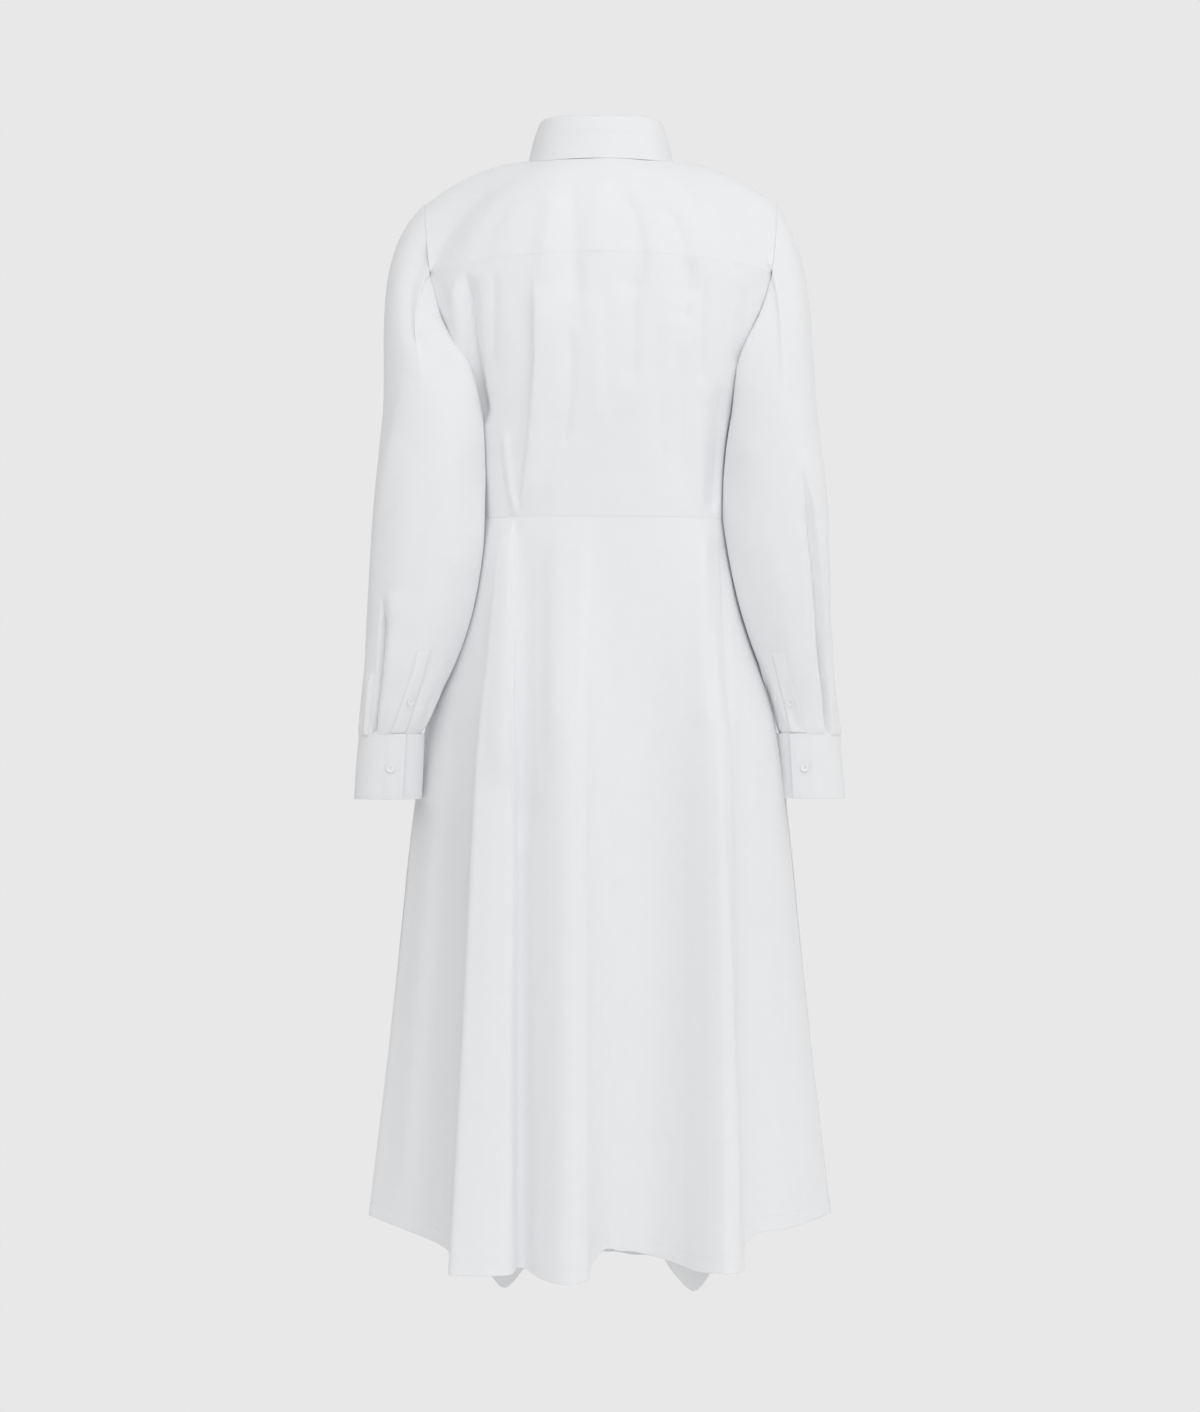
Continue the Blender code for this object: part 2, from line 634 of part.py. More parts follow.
def button(name, centre, outward, radius, look):
    """Turned button with a raised rim, its back face towards the cloth."""
    outward = unit(np.asarray(outward, float))
    side = unit(np.cross(outward, np.array((0.0, 0.0, 1.0))))
    up = np.cross(side, outward)
    profile = (
        (radius * 0.55, 0.0),
        (radius * 0.92, 0.25 * BUTTON_THICK),
        (radius, 0.6 * BUTTON_THICK),
        (radius * 0.9, BUTTON_THICK),
        (radius * 0.68, 0.72 * BUTTON_THICK),
    )
    count = 14
    points = []
    for reach, height in profile:
        for step in range(count):
            turn = 2 * np.pi * step / count
            points.append(centre + outward * height
                          + (side * np.cos(turn) + up * np.sin(turn)) * reach)
    points.append(centre)
    points.append(centre + outward * 0.66 * BUTTON_THICK)
    back, front = len(points) - 2, len(points) - 1
    faces = []
    for ring in range(len(profile) - 1):
        for step in range(count):
            a, b = ring * count + step, ring * count + (step + 1) % count
            faces.append((a, b, b + count, a + count))
    last = (len(profile) - 1) * count
    for step in range(count):
        follow = (step + 1) % count
        faces.append((back, follow, step))
        faces.append((front, last + step, last + follow))
    made = np.array(points)
    first = made[list(faces[0][:3])]
    turned = np.dot(np.cross(first[1] - first[0], first[2] - first[0]), first[0] - centre)
    if turned < 0:
        faces = [tuple(reversed(face)) for face in faces]
    return solid(name, made, faces, look)


def clear_scene():
    for item in list(bpy.data.objects):
        bpy.data.objects.remove(item, do_unlink=True)


def build_panels(cloth):
    wall("back_bodice", back_bodice_grid(15), WALL, cloth, outward=(0, 1, 0))
    wall("front_bodice_left", front_bodice_grid(1, 12, 5), WALL, cloth, outward=(0, -1, 0))
    wall("front_bodice_right", front_bodice_grid(-1, 12, 5), WALL, cloth, outward=(0, -1, 0))
    wall("back_yoke", yoke_grid(12, 6, 5), WALL, cloth, outward=(0, 1, 0))
    angles = SKIRT_FOLDS[:, 0]
    rows = np.array(SKIRT_ROWS)[:, None]

    def skirt(name, start, end, outward):
        inside = angles[(angles > start + 1.0) & (angles < end - 1.0)]
        theta = np.concatenate(([start], inside, [end]))
        middles = (theta[1:] + theta[:-1]) / 2
        theta = np.sort(np.concatenate((theta, middles)))
        grid = skirt_point(*np.broadcast_arrays(rows, theta[None, :]))
        if start < -91.0:
            grid[:, 0, 0] = -PLACKET_HALF - 0.8
        wall(name, grid, WALL, cloth, outward=outward)

    skirt("skirt_back", -89.92, 89.92, (0, 1, 0))
    skirt("skirt_front_right", -173.7, -90.05, (0, -1, 0))
    under = np.array([-175.6 + 360.0])
    inside = angles[(angles > 91.0) & (angles < 180.0)]
    theta = np.concatenate(([90.05], inside, [180.0]))
    theta = np.sort(np.concatenate((theta, (theta[1:] + theta[:-1]) / 2)))
    grid = skirt_point(*np.broadcast_arrays(rows, theta[None, :]))
    tail = skirt_point(*np.broadcast_arrays(rows, (under - 360.0)[None, :]))
    wall("skirt_front_left", np.concatenate((grid, tail), axis=1), WALL, cloth,
         outward=(0, -1, 0))
    wall("front_placket", placket_grid(4), WALL_STIFF, cloth, outward=(0, -1, 0))


def build_collar(cloth):
    wall("collar_stand", stand_grid(25), WALL_STIFF, cloth, outward=(0, 1, 0))
    wall("collar_fall", fall_grid(23), WALL_STIFF, cloth)


def build_sleeves(cloth):
    for side, name in ((1, "left"), (-1, "right")):
        wall("sleeve_" + name, sleeve_grid(side, SLEEVE_COLUMNS), WALL, cloth, closed=True)
        wall("cuff_" + name, cuff_grid(side, 27), WALL_STIFF, cloth)
        wall("sleeve_placket_" + name, sleeve_placket_grid(side), WALL, cloth)


def build_buttons(plastic):
    band = placket_grid(5)
    line = band[:, 2]
    order = np.argsort(line[:, 2])
    for number, drop in enumerate((118, 208, 298, 383, 478, 573, 668, 763, 858), start=1):
        y = np.interp(-drop, line[order, 2], line[order, 1])
        slope = (np.interp(-drop + 5, line[order, 2], line[order, 1])
                 - np.interp(-drop - 5, line[order, 2], line[order, 1])) / 10
        out = unit(np.array((0.0, -1.0, slope)))
        centre = np.array((0.0, y, -drop)) + out * (WALL_STIFF / 2 + 0.35)
        button("front_button_%d" % number, centre, out, BUTTON_RADIUS, plastic)
    stand = stand_grid(29)[1, 0]
    button("collar_button", np.array((0.5, stand[1] - 3.0, stand[2] + 1.0)),
           np.array((0.0, -1.0, 0.12)), SMALL_BUTTON_RADIUS, plastic)
    for side, name in ((1, "left"), (-1, "right")):
        strip = sleeve_placket_grid(side)
        normal = grid_normals(strip, False)[3, 2]
        size = smooth(SLEEVE_LEFT if side > 0 else SLEEVE_RIGHT, -strip[3, 2, 2:])[0]
        inward = np.array((side * size[0], size[1], strip[3, 2, 2])) - strip[3, 2]
        normal = normal if np.dot(normal, inward) < 0 else -normal
        button("sleeve_button_" + name, strip[3, 2] + normal * (WALL / 2 + 0.35), normal,
               SMALL_BUTTON_RADIUS, plastic)
        cuff = cuff_grid(side, 121)
        spot = cuff[1, 7]
        top_x, top_y, low_x, low_y = CUFF_CENTRES[side]
        axis = np.array((side * (top_x + low_x) / 2, (top_y + low_y) / 2, spot[2]))
        normal = unit(spot - axis)
        button("cuff_button_" + name, spot + normal * (WALL_STIFF / 2 + 0.35), normal,
               SMALL_BUTTON_RADIUS, plastic)


def main():
    clear_scene()
    cloth = material("white_poplin", (0.86, 0.87, 0.89), 0.85)
    plastic = material("white_plastic", (0.90, 0.90, 0.89), 0.3)
    build_panels(cloth)
    build_collar(cloth)
    build_sleeves(cloth)
    build_buttons(plastic)


main()
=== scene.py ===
"""Shirt dress in white poplin: its cloth, seams, stitching, buttons and studio stage."""
import math

import bpy
import numpy as np
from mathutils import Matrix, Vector


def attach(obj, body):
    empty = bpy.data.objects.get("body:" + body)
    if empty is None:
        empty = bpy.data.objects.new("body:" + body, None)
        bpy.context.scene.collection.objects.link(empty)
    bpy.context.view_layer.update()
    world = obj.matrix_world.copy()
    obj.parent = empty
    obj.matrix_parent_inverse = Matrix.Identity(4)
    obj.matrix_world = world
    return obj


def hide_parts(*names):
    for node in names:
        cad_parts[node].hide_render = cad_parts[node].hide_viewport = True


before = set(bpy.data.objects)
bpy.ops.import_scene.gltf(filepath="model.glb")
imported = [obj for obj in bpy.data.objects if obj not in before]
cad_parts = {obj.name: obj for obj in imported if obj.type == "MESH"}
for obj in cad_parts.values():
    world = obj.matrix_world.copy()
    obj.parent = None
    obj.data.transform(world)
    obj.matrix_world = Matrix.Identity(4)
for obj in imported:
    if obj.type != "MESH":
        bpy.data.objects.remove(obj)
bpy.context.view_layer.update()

bl_info = {
    "name": "Shirt dress",
    "version": (1, 0, 0),
    "blender": (4, 5, 0),
    "location": "View3D > Sidebar > Dress",
    "description": "Cloth, stitching, buttons and stage of a white shirt dress",
    "category": "Object",
}

MM = 0.001

# ---- the cut, in millimetres; "drop" is the distance below the nape seam ---------------
SEAM_GAP = 0.04  # between panels that meet edge to edge
SEAM_LAP = 0.15  # yoke edge over the seam line
SEAM_UNDER = 1.7  # cloth that runs on under the neighbouring panel
UNDERARM_DROP = 237.0
YOKE_DROP = 131.0
YOKE_RISE = 17.0
WAIST_DROP = 396.0
PLACKET_HALF = 15.3
PLACKET_LIFT = 2.1
LEFT_FRONT_EDGE = -12.0  # x of the front edge at the band, under it and beside it
RIGHT_FRONT_EDGE = 15.7
NECK_HALF_WIDTH = 72.0
NECK_BACK = 60.0
NECK_FRONT = 72.0
NECK_MIDDLE_Y = -8.0
NECK_SIDE_Z = -3.0
NECK_FRONT_FALL = 67.0
NECK_YOKE_ANGLE = 107.0
HEM_TURN = 16.0
HEM_BELOW_WAIST = 765.0
SLEEVE_MOUTH_DROP = 292.0  # where the sleeve head becomes a hanging tube
SLEEVE_END_DROP = 634.0
CUFF_TOP_DROP = 630.6
CUFF_END_DROP = 702.0
CUFF_RADIUS = 33.2
CUFF_STEP = 2.9
CUFF_LAP = 38.0
BUTTON_RADIUS = 5.6
SMALL_BUTTON_RADIUS = 4.8
BUTTON_THICK = 2.2
BUTTON_HOLE_OUT = 0.19  # of the radius, along both directions
FRONT_BUTTON_DROPS = (118, 208, 298, 383, 478, 573, 668, 763, 858)
TOPSTITCH = 5.0
EDGESTITCH = 2.0
DOUBLED_THICK = 1.4  # cloth with interlining in the band and collar
CUFF_THICK = 1.5
SLIT_THICK = 0.9

# Rough lengths of cloth, which only space the meshes
BACK_ACROSS = 374.0
FRONT_ACROSS = 210.0
FRONT_UPPER = 100.0
YOKE_HALF_ROUND = 300.0
YOKE_DEEP = 118.0
BAND_LONG = 1190.0
SKIRT_LONG = 800.0
CUFF_ROUND = 230.0

# Body form: drop, half width, depth behind, depth in front
BODY_LEVELS = np.array((
    (113.0, 205.0, 111.0, 103.0),
    (131.0, 200.0, 112.0, 112.0),
    (165.0, 190.0, 112.5, 126.0),
    (200.0, 176.0, 112.0, 135.0),
    (237.0, 160.0, 110.0, 137.0),
    (262.0, 151.5, 108.0, 133.0),
    (300.0, 142.0, 104.0, 121.0),
    (350.0, 135.5, 100.0, 108.0),
    (396.0, 134.0, 98.0, 102.0),
))
ROUND_BACK = 2.4
ROUND_FRONT = 2.1

# Armhole edge of the panels: drop, distance from the centre line behind, and in front
ARMHOLE_EDGE = np.array((
    (131.0, 186.0, 170.0),
    (165.0, 177.0, 164.0),
    (212.0, 167.5, 160.5),
    (230.0, 162.6, 161.2),
    (237.0, 160.0, 160.0),
))
# Armhole edge over the shoulder, back yoke seam to front yoke seam: x, y, z
SHOULDER_EDGE = np.array((
    (186.0, 58.0, -131.0),
    (190.0, 45.0, -95.0),
    (193.0, 21.0, -61.0),
    (193.0, -6.0, -48.5),
    (188.0, -30.0, -67.0),
))
YOKE_LEAVES = np.array((
    (0.00, 0.00, 0.96, -0.28),
    (0.25, 0.42, 0.82, -0.34),
    (0.50, 0.80, 0.48, -0.22),
    (0.75, 0.99, 0.10, 0.12),
    (1.00, 0.94, -0.20, -0.12),
))
YOKE_ARRIVES = np.array((
    (0.00, 0.00, 0.14, -0.99),
    (0.25, 0.06, 0.12, -0.98),
    (0.50, 0.42, 0.12, -0.90),
    (0.62, 0.62, 0.12, -0.78),
    (0.78, 0.74, 0.02, -0.67),
    (1.00, 0.74, -0.10, -0.66),
))

# Skirt width gained on the way down: part of the way, part of the gain
SKIRT_FLARE = np.array((
    (0.000, 0.00),
    (0.058, 0.09),
    (0.115, 0.17),
    (0.158, 0.24),
    (0.216, 0.345),
    (0.259, 0.43),
    (0.320, 0.51),
    (0.432, 0.60),
    (0.605, 0.71),
    (0.806, 0.85),
    (1.000, 1.00),
))
# Skirt hem, fold by fold: angle at the waist seam, hem x, y, z.  0 is centre back, 90 the
# wearer's left side, 180 centre front.
SKIRT_FOLDS = np.array((
    (-180.0, 0.0, -160.0, -1222.0),
    (-174.0, -16.0, -159.0, -1222.0),
    (-166.0, -36.0, -150.0, -1224.0),
    (-157.0, -52.0, -132.0, -1222.0),
    (-149.0, -70.0, -146.0, -1227.0),
    (-143.0, -86.0, -172.0, -1252.0),
    (-136.0, -109.0, -184.0, -1270.0),
    (-129.0, -134.0, -174.0, -1234.0),
    (-122.0, -156.0, -142.0, -1198.0),
    (-115.0, -184.0, -104.0, -1183.0),
    (-103.0, -224.0, -64.0, -1172.0),
    (-90.0, -252.0, 0.0, -1158.0),
    (-80.5, -203.0, 78.0, -1165.0),
    (-75.5, -162.0, 112.0, -1170.0),
    (-73.0, -149.0, 140.0, -1182.0),
    (-71.0, -152.0, 168.0, -1192.0),
    (-68.5, -148.0, 186.0, -1197.0),
    (-64.0, -135.0, 199.0, -1198.0),
    (-58.0, -120.0, 194.0, -1198.0),
    (-50.0, -104.0, 175.0, -1199.0),
    (-37.5, -84.0, 141.0, -1196.0),
    (-24.5, -54.0, 112.0, -1190.0),
    (-9.0, -22.0, 116.0, -1185.0),
    (0.5, 2.0, 134.0, -1186.0),
    (3.0, 10.0, 158.0, -1194.0),
    (5.5, 12.0, 186.0, -1203.0),
    (10.5, 23.0, 201.0, -1207.0),
    (20.5, 44.0, 203.0, -1208.0),
    (30.0, 66.0, 180.0, -1204.0),
    (36.5, 83.0, 158.0, -1197.0),
    (39.0, 90.0, 164.0, -1197.0),
    (40.6, 94.0, 192.0, -1199.0),
    (43.0, 116.0, 200.0, -1200.0),
    (45.2, 143.0, 196.0, -1200.0),
    (46.7, 160.0, 189.0, -1200.0),
    (47.9, 160.0, 170.0, -1191.0),
    (49.6, 162.0, 150.0, -1181.0),
    (52.0, 171.0, 122.0, -1178.0),
    (55.5, 183.0, 94.0, -1176.0),
    (60.5, 197.0, 68.0, -1174.0),
    (69.0, 221.0, 44.0, -1168.0),
    (80.0, 242.0, 21.0, -1163.0),
    (90.0, 255.0, 0.0, -1160.0),
    (104.0, 227.0, -62.0, -1172.0),
    (115.0, 188.0, -102.0, -1186.0),
    (123.0, 158.0, -140.0, -1222.0),
    (130.0, 132.0, -173.0, -1243.0),
    (136.5, 110.0, -183.0, -1267.0),
    (143.0, 84.0, -168.0, -1238.0),
    (150.0, 66.0, -142.0, -1224.0),
    (158.0, 50.0, -130.0, -1220.0),
    (167.0, 33.0, -145.0, -1222.0),
    (174.0, 16.0, -158.0, -1222.0),
    (180.0, 0.0, -160.0, -1222.0),
))

# Sleeves below the armhole: drop, centre x, centre y, half width, half depth
SLEEVE_LEFT = np.array((
    (292.0, 181.5, 44.0, 56.5, 60.0),
    (330.0, 183.0, 50.0, 58.5, 58.0),
    (374.0, 186.0, 54.0, 60.0, 55.0),
    (440.0, 189.5, 57.0, 60.5, 50.0),
    (484.0, 194.5, 56.0, 58.0, 47.0),
    (517.0, 199.5, 54.0, 54.5, 45.0),
    (561.0, 208.5, 50.0, 47.5, 42.0),
    (600.0, 220.5, 45.0, 40.0, 38.5),
    (622.0, 227.5, 41.0, 35.8, 35.5),
    (630.4, 230.5, 39.5, 33.8, 33.8),
    (634.5, 230.7, 39.3, 32.2, 32.2),
))
SLEEVE_RIGHT = np.array((
    (292.0, 188.5, 24.0, 49.5, 58.0),
    (330.0, 188.5, 28.0, 54.0, 56.0),
    (374.0, 190.0, 30.0, 57.0, 53.0),
    (440.0, 193.5, 30.0, 57.0, 49.0),
    (484.0, 198.0, 25.0, 53.5, 46.0),
    (517.0, 203.5, 18.0, 49.0, 44.0),
    (561.0, 213.5, 6.0, 41.5, 40.5),
    (600.0, 223.5, -4.0, 36.5, 36.5),
    (622.0, 228.4, -8.0, 34.2, 34.0),
    (630.4, 230.8, -9.5, 33.8, 33.8),
    (634.5, 231.2, -9.7, 32.2, 32.2),
))
SLEEVE_CLEAR = 1.0
SLEEVE_SOFT_TOUCH = 4.0  # how gradually the sleeve is held off the body, in square mm
CUFF_CENTRES = {1: (230.5, 39.5, 235.0, 34.5), -1: (230.9, -9.5, 235.8, -11.5)}
SLEEVE_SLIT = {1: 108.0, -1: 116.0}
SLIT_TOP_DROP = 541.0
SLIT_HALF = 9.0

# Collar guide lines, centre back to centre front: station, then x, y, z of the top of the
# stand, the fold, the middle of the fall and its lower edge
COLLAR = np.array((
    (0.00, 0, 49, 27, 0, 51, 41, 0, 56.5, 20, 0, 58.5, -5.2),
    (0.22, 47, 34, 27, 47, 36, 42, 54.5, 40, 20, 57.5, 41.5, -6.0),
    (0.45, 65, -8, 25, 63, -8, 40, 74, -8, 20, 80, -9, -6),
    (0.66, 56, -47, 0, 56, -49, 14, 69, -54, -6, 77, -58, -26),
    (0.84, 32, -68, -30, 33, -73, -18, 48, -84, -42, 62, -90, -64),
    (0.96, 10, -75, -42, 11, -81, -31, 28, -95, -60, 45, -104, -93),
))

# Angles of the skirt's sharp pleat edges
SHARP_PLEATS = (40.2, 48.0, 4.5, -73.0, -62.0)

# Listed folds.  Each row is one fold: its start, middle and end as (drop, across), its
# softness on the side of rising "across" and on the other side, and its height.  On body
# and skirt "across" is x; on the sleeves it is the way round in millimetres from the outer
# line, over the back.
BACK_FOLDS = np.array((
    (127, 145, 205, 142, 300, 128, 3.0, 9.0, -11.0),
    (131, 158, 200, 152, 262, 142, 10.0, 6.0, 5.5),
    (128, 73, 222, 71, 398, 87, 2.2, 34.0, 6.0),
    (140, 84, 222, 82, 360, 98, 12.0, 7.0, -1.8),
    (300, 103, 355, 98, 400, 89, 4.0, 2.6, 4.4),
    (126, 114, 180, 115, 240, 117, 6.0, 5.0, -2.0),
    (185, 34, 250, 32, 330, 40, 7.0, 5.0, -2.4),
    (270, 46, 330, 54, 394, 66, 10.0, 8.0, -1.6),
    (118, 27, 150, 26, 196, 24, 12.0, 8.0, -1.4),
    (118, -33, 180, -36, 262, -33, 16.0, 7.0, -2.2),
    (150, 8, 220, 6, 300, 2, 14.0, 8.0, 1.7),
    (118, -98, 150, -95, 190, -92, 18.0, 5.0, -2.4),
    (126, -111, 190, -111, 262, -112, 9.0, 4.5, -2.2),
    (250, -130, 320, -131, 400, -122, 16.0, 2.4, -5.6),
    (280, -106, 330, -110, 396, -112, 9.0, 6.0, 2.0),
    (140, -156, 190, -154, 236, -148, 9.0, 7.0, -3.0),
    (170, -58, 260, -62, 350, -66, 12.0, 10.0, -1.2),
    (200, -86, 290, -88, 380, -90, 9.0, 7.0, -1.3),
))
YOKE_FOLDS = np.array((
    (22, 34, 70, 30, 170, 27, 15.0, 9.0, -2.8),
    (26, -14, 80, -38, 170, -34, 20.0, 8.0, -3.0),
    (48, -66, 90, -84, 168, -98, 18.0, 8.0, -3.4),
    (40, 52, 80, 58, 150, 64, 10.0, 16.0, 2.2),
    (44, 96, 84, 116, 140, 134, 14.0, 10.0, -1.6),
    (20, 0, 60, 2, 120, 6, 9.0, 9.0, 1.2),
    (60, -120, 96, -134, 138, -146, 6.0, 12.0, -1.6),
))
FRONT_FOLDS = np.array((
    (150, 120, 210, 112, 300, 92, 8.0, 22.0, 2.6),
    (230, 60, 310, 66, 395, 84, 16.0, 5.0, 3.2),
    (300, 100, 350, 98, 396, 90, 5.0, 10.0, 2.8),
    (140, -118, 205, -110, 290, -94, 22.0, 7.0, 2.4),
    (235, -62, 310, -68, 395, -84, 5.0, 18.0, 3.3),
    (296, -102, 350, -100, 396, -92, 9.0, 5.0, 2.6),
    (120, 44, 170, 52, 230, 58, 10.0, 14.0, 1.1),
    (126, -46, 176, -52, 235, -56, 14.0, 10.0, 1.2),
    (250, 128, 300, 118, 360, 112, 8.0, 10.0, 1.4),
    (255, -126, 300, -117, 352, -112, 10.0, 8.0, 1.3),
))
SKIRT_BACK_PLEATS = np.array((
    (385, 95, 500, 98, 700, 99, 20.0, 1.7, 6.5),
    (397, 87, 500, 88, 760, 88, 3.0, 22.0, -5.0),
    (397, 62, 520, 64, 700, 64, 10.0, 12.0, -1.8),
    (397, 46, 500, 50, 640, 52, 10.0, 8.0, 1.2),
    (397, -112, 470, -112, 640, -114, 14.0, 5.0, 3.6),
    (397, -124, 470, -130, 640, -140, 8.0, 5.0, -3.0),
    (430, -131, 520, -139, 640, -146, 6.0, 10.0, 2.2),
    (600, -40, 800, -44, 1100, -50, 26.0, 22.0, 1.5),
    (640, -126, 900, -139, 1190, -146, 12.0, 1.8, 2.6),
    (560, 26, 800, 30, 1190, 33, 14.0, 18.0, 1.6),
    (700, 178, 900, 196, 1160, 214, 12.0, 14.0, 2.2),
    (700, -186, 900, -204, 1160, -226, 12.0, 14.0, 2.4),
))
SKIRT_FRONT_PLEATS = np.array((
    (397, 86, 500, 84, 640, 86, 3.0, 12.0, 3.4),
    (397, -86, 500, -84, 640, -86, 12.0, 3.0, 3.4),
    (430, 46, 560, 44, 800, 46, 12.0, 16.0, 1.6),
    (430, -48, 560, -48, 800, -50, 16.0, 12.0, 1.7),
    (520, 124, 700, 140, 1000, 150, 14.0, 14.0, 2.0),
    (520, -122, 700, -138, 1000, -150, 14.0, 14.0, 2.1),
    (700, 190, 900, 206, 1150, 226, 14.0, 12.0, 2.2),
    (700, -188, 900, -206, 1150, -224, 12.0, 14.0, 2.2),
))
# Skirt panels: name, first and last angle, folds, seed of the small waves, whether in front
SKIRT_PANELS = (
    ("back", -89.96, 89.96, SKIRT_BACK_PLEATS, 31, False),
    ("front_left", 90.03, 184.4, SKIRT_FRONT_PLEATS, 37, True),
    ("front_right", -174.0, -90.03, SKIRT_FRONT_PLEATS, 41, True),
)
# Sleeve folds lie across an angle: start, middle, end as (drop, angle), softness towards
# larger and smaller angles in degrees, height in millimetres
SLEEVE_LEFT_FOLDS = np.array((
    (480, 50, 560, 53, 655, 60, 8.0, 2.0, -11.0),
    (560, 42, 605, 44, 655, 50, 2.4, 9.0, 5.0),
    (82, 66, 130, 64, 220, 82, 10.0, 16.0, -4.5),
    (470, 60, 560, 60, 632, 56, 16.0, 7.0, 4.8),
    (560, 30, 600, 28, 632, 30, 7.0, 7.0, 2.4),
    (300, 116, 380, 120, 470, 128, 16.0, 14.0, 2.0),
    (330, 74, 420, 66, 520, 62, 16.0, 14.0, 2.0),
    (590, 84, 612, 86, 634, 86, 8.0, 8.0, 1.8),
    (596, 140, 614, 142, 634, 144, 8.0, 8.0, 2.0),
    (580, 168, 606, 168, 634, 166, 9.0, 9.0, 2.0),
    (240, 60, 290, 48, 350, 40, 16.0, 12.0, 2.2),
    (420, 215, 480, 222, 560, 230, 16.0, 12.0, 2.6),
    (320, 250, 400, 262, 500, 286, 18.0, 14.0, 3.0),
    (560, 250, 600, 246, 634, 244, 9.0, 9.0, 2.2),
    (548, 290, 596, 288, 634, 286, 9.0, 9.0, 2.2),
    (566, 330, 604, 328, 634, 326, 8.0, 8.0, 2.0),
))
SLEEVE_RIGHT_FOLDS = np.array((
    (335, 60, 470, 45, 660, 53, 2.0, 24.0, 4.0),
    (335, 64, 470, 49, 660, 57, 7.0, 1.8, -9.0),
    (430, 84, 520, 92, 600, 96, 14.0, 14.0, 1.8),
    (300, 120, 380, 126, 450, 134, 14.0, 16.0, 2.0),
    (260, 66, 330, 60, 400, 58, 16.0, 16.0, 1.6),
    (590, 74, 612, 74, 634, 74, 8.0, 8.0, 1.6),
    (584, 152, 608, 152, 634, 152, 8.0, 8.0, 2.0),
    (580, 176, 606, 178, 634, 178, 9.0, 9.0, 2.0),
    (420, 216, 480, 224, 560, 232, 16.0, 12.0, 2.6),
    (310, 246, 400, 262, 500, 290, 18.0, 14.0, 3.0),
    (556, 246, 600, 244, 634, 242, 9.0, 9.0, 2.2),
    (548, 292, 596, 290, 634, 288, 9.0, 9.0, 2.2),
    (566, 334, 604, 330, 634, 328, 8.0, 8.0, 1.8),
))

# Button from the middle of its back, round its rim to the middle of its face: parts of the
# radius and of the thickness.  The holes are drawn down from BUTTON_FACE on.
BUTTON_PROFILE = np.array((
    (0.02, 0.0), (0.55, 0.0), (0.86, 0.14), (0.97, 0.36), (1.0, 0.6), (0.985, 0.8),
    (0.93, 0.95), (0.87, 1.0), (0.81, 0.95), (0.75, 0.80), (0.68, 0.72),
    (0.6, 0.68), (0.5, 0.66), (0.42, 0.66), (0.34, 0.66), (0.26, 0.66), (0.18, 0.66),
    (0.10, 0.66), (0.02, 0.66),
))
BUTTON_FACE = 11


# ---- curves and tables -------------------------------------------------------------------
def blend_weights(t):
    """Weights of a cubic's start, leaving slope, end and arriving slope."""
    return 2 * t**3 - 3 * t**2 + 1, t**3 - 2 * t**2 + t, 3 * t**2 - 2 * t**3, t**3 - t**2


def smooth(table, at):
    """Read the columns of a table between its rows with a smooth curve."""
    keys = table[:, 0]
    values = table[:, 1:]
    at = np.clip(np.asarray(at, float), keys[0], keys[-1])
    slope = np.gradient(values, keys, axis=0)
    low = np.clip(np.searchsorted(keys, at, side="right") - 1, 0, len(keys) - 2)
    span = (keys[low + 1] - keys[low])[..., None]
    first, leave, last, arrive = blend_weights((at - keys[low])[..., None] / span)
    start = first * values[low] + leave * span * slope[low]
    end = last * values[low + 1] + arrive * span * slope[low + 1]
    return start + end


def ease(value):
    """From 0 to 1 with a soft start and end."""
    value = np.clip(value, 0.0, 1.0)
    return value * value * (3.0 - 2.0 * value)


def line_lengths(points):
    """Length run since the first point, along a line or down each column of a grid."""
    steps = np.linalg.norm(np.diff(points, axis=0), axis=-1)
    return np.concatenate((np.zeros((1,) + steps.shape[1:]), np.cumsum(steps, axis=0)))


def at_parts(points, parts):
    """Points at the given parts of a line's length."""
    along = line_lengths(points)
    wanted = np.asarray(parts) * along[-1]
    return np.stack([np.interp(wanted, along, points[:, axis]) for axis in range(3)], axis=1)


def through(points, parts):
    """A smooth line through a few points, read at parts of its length."""
    along = line_lengths(points)
    dense = smooth(np.column_stack((along, points)), np.linspace(0.0, along[-1], 200))
    return at_parts(dense, parts)


def cloth_parts(length, step):
    """Even parts of a length, closer together beside both edges for the seam rolls."""
    count = max(4, int(round(length / step)))
    even = np.linspace(0.0, 1.0, count + 1)
    near = np.array((0.8, 1.8, 3.2)) / length
    parts = np.unique(np.concatenate((even, near, 1.0 - near)))
    keep = np.concatenate(([True], np.diff(parts) > 0.35 / length))
    return parts[keep]


def mirrored(points):
    """The same points on the other side of the centre line."""
    return np.asarray(points) * np.array((-1.0, 1.0, 1.0))


def unit(vectors):
    """The vectors, each one long."""
    return vectors / np.maximum(np.linalg.norm(vectors, axis=-1, keepdims=True), 1e-9)


def hermite(start, leave, end, arrive, parts):
    """Curves from start to end that leave and arrive along the given directions."""
    first, out, last, into = blend_weights(np.asarray(parts)[:, None, None])
    reach = np.linalg.norm(end - start, axis=-1, keepdims=True)
    return first * start + out * reach * leave + last * end + into * reach * unit(arrive)


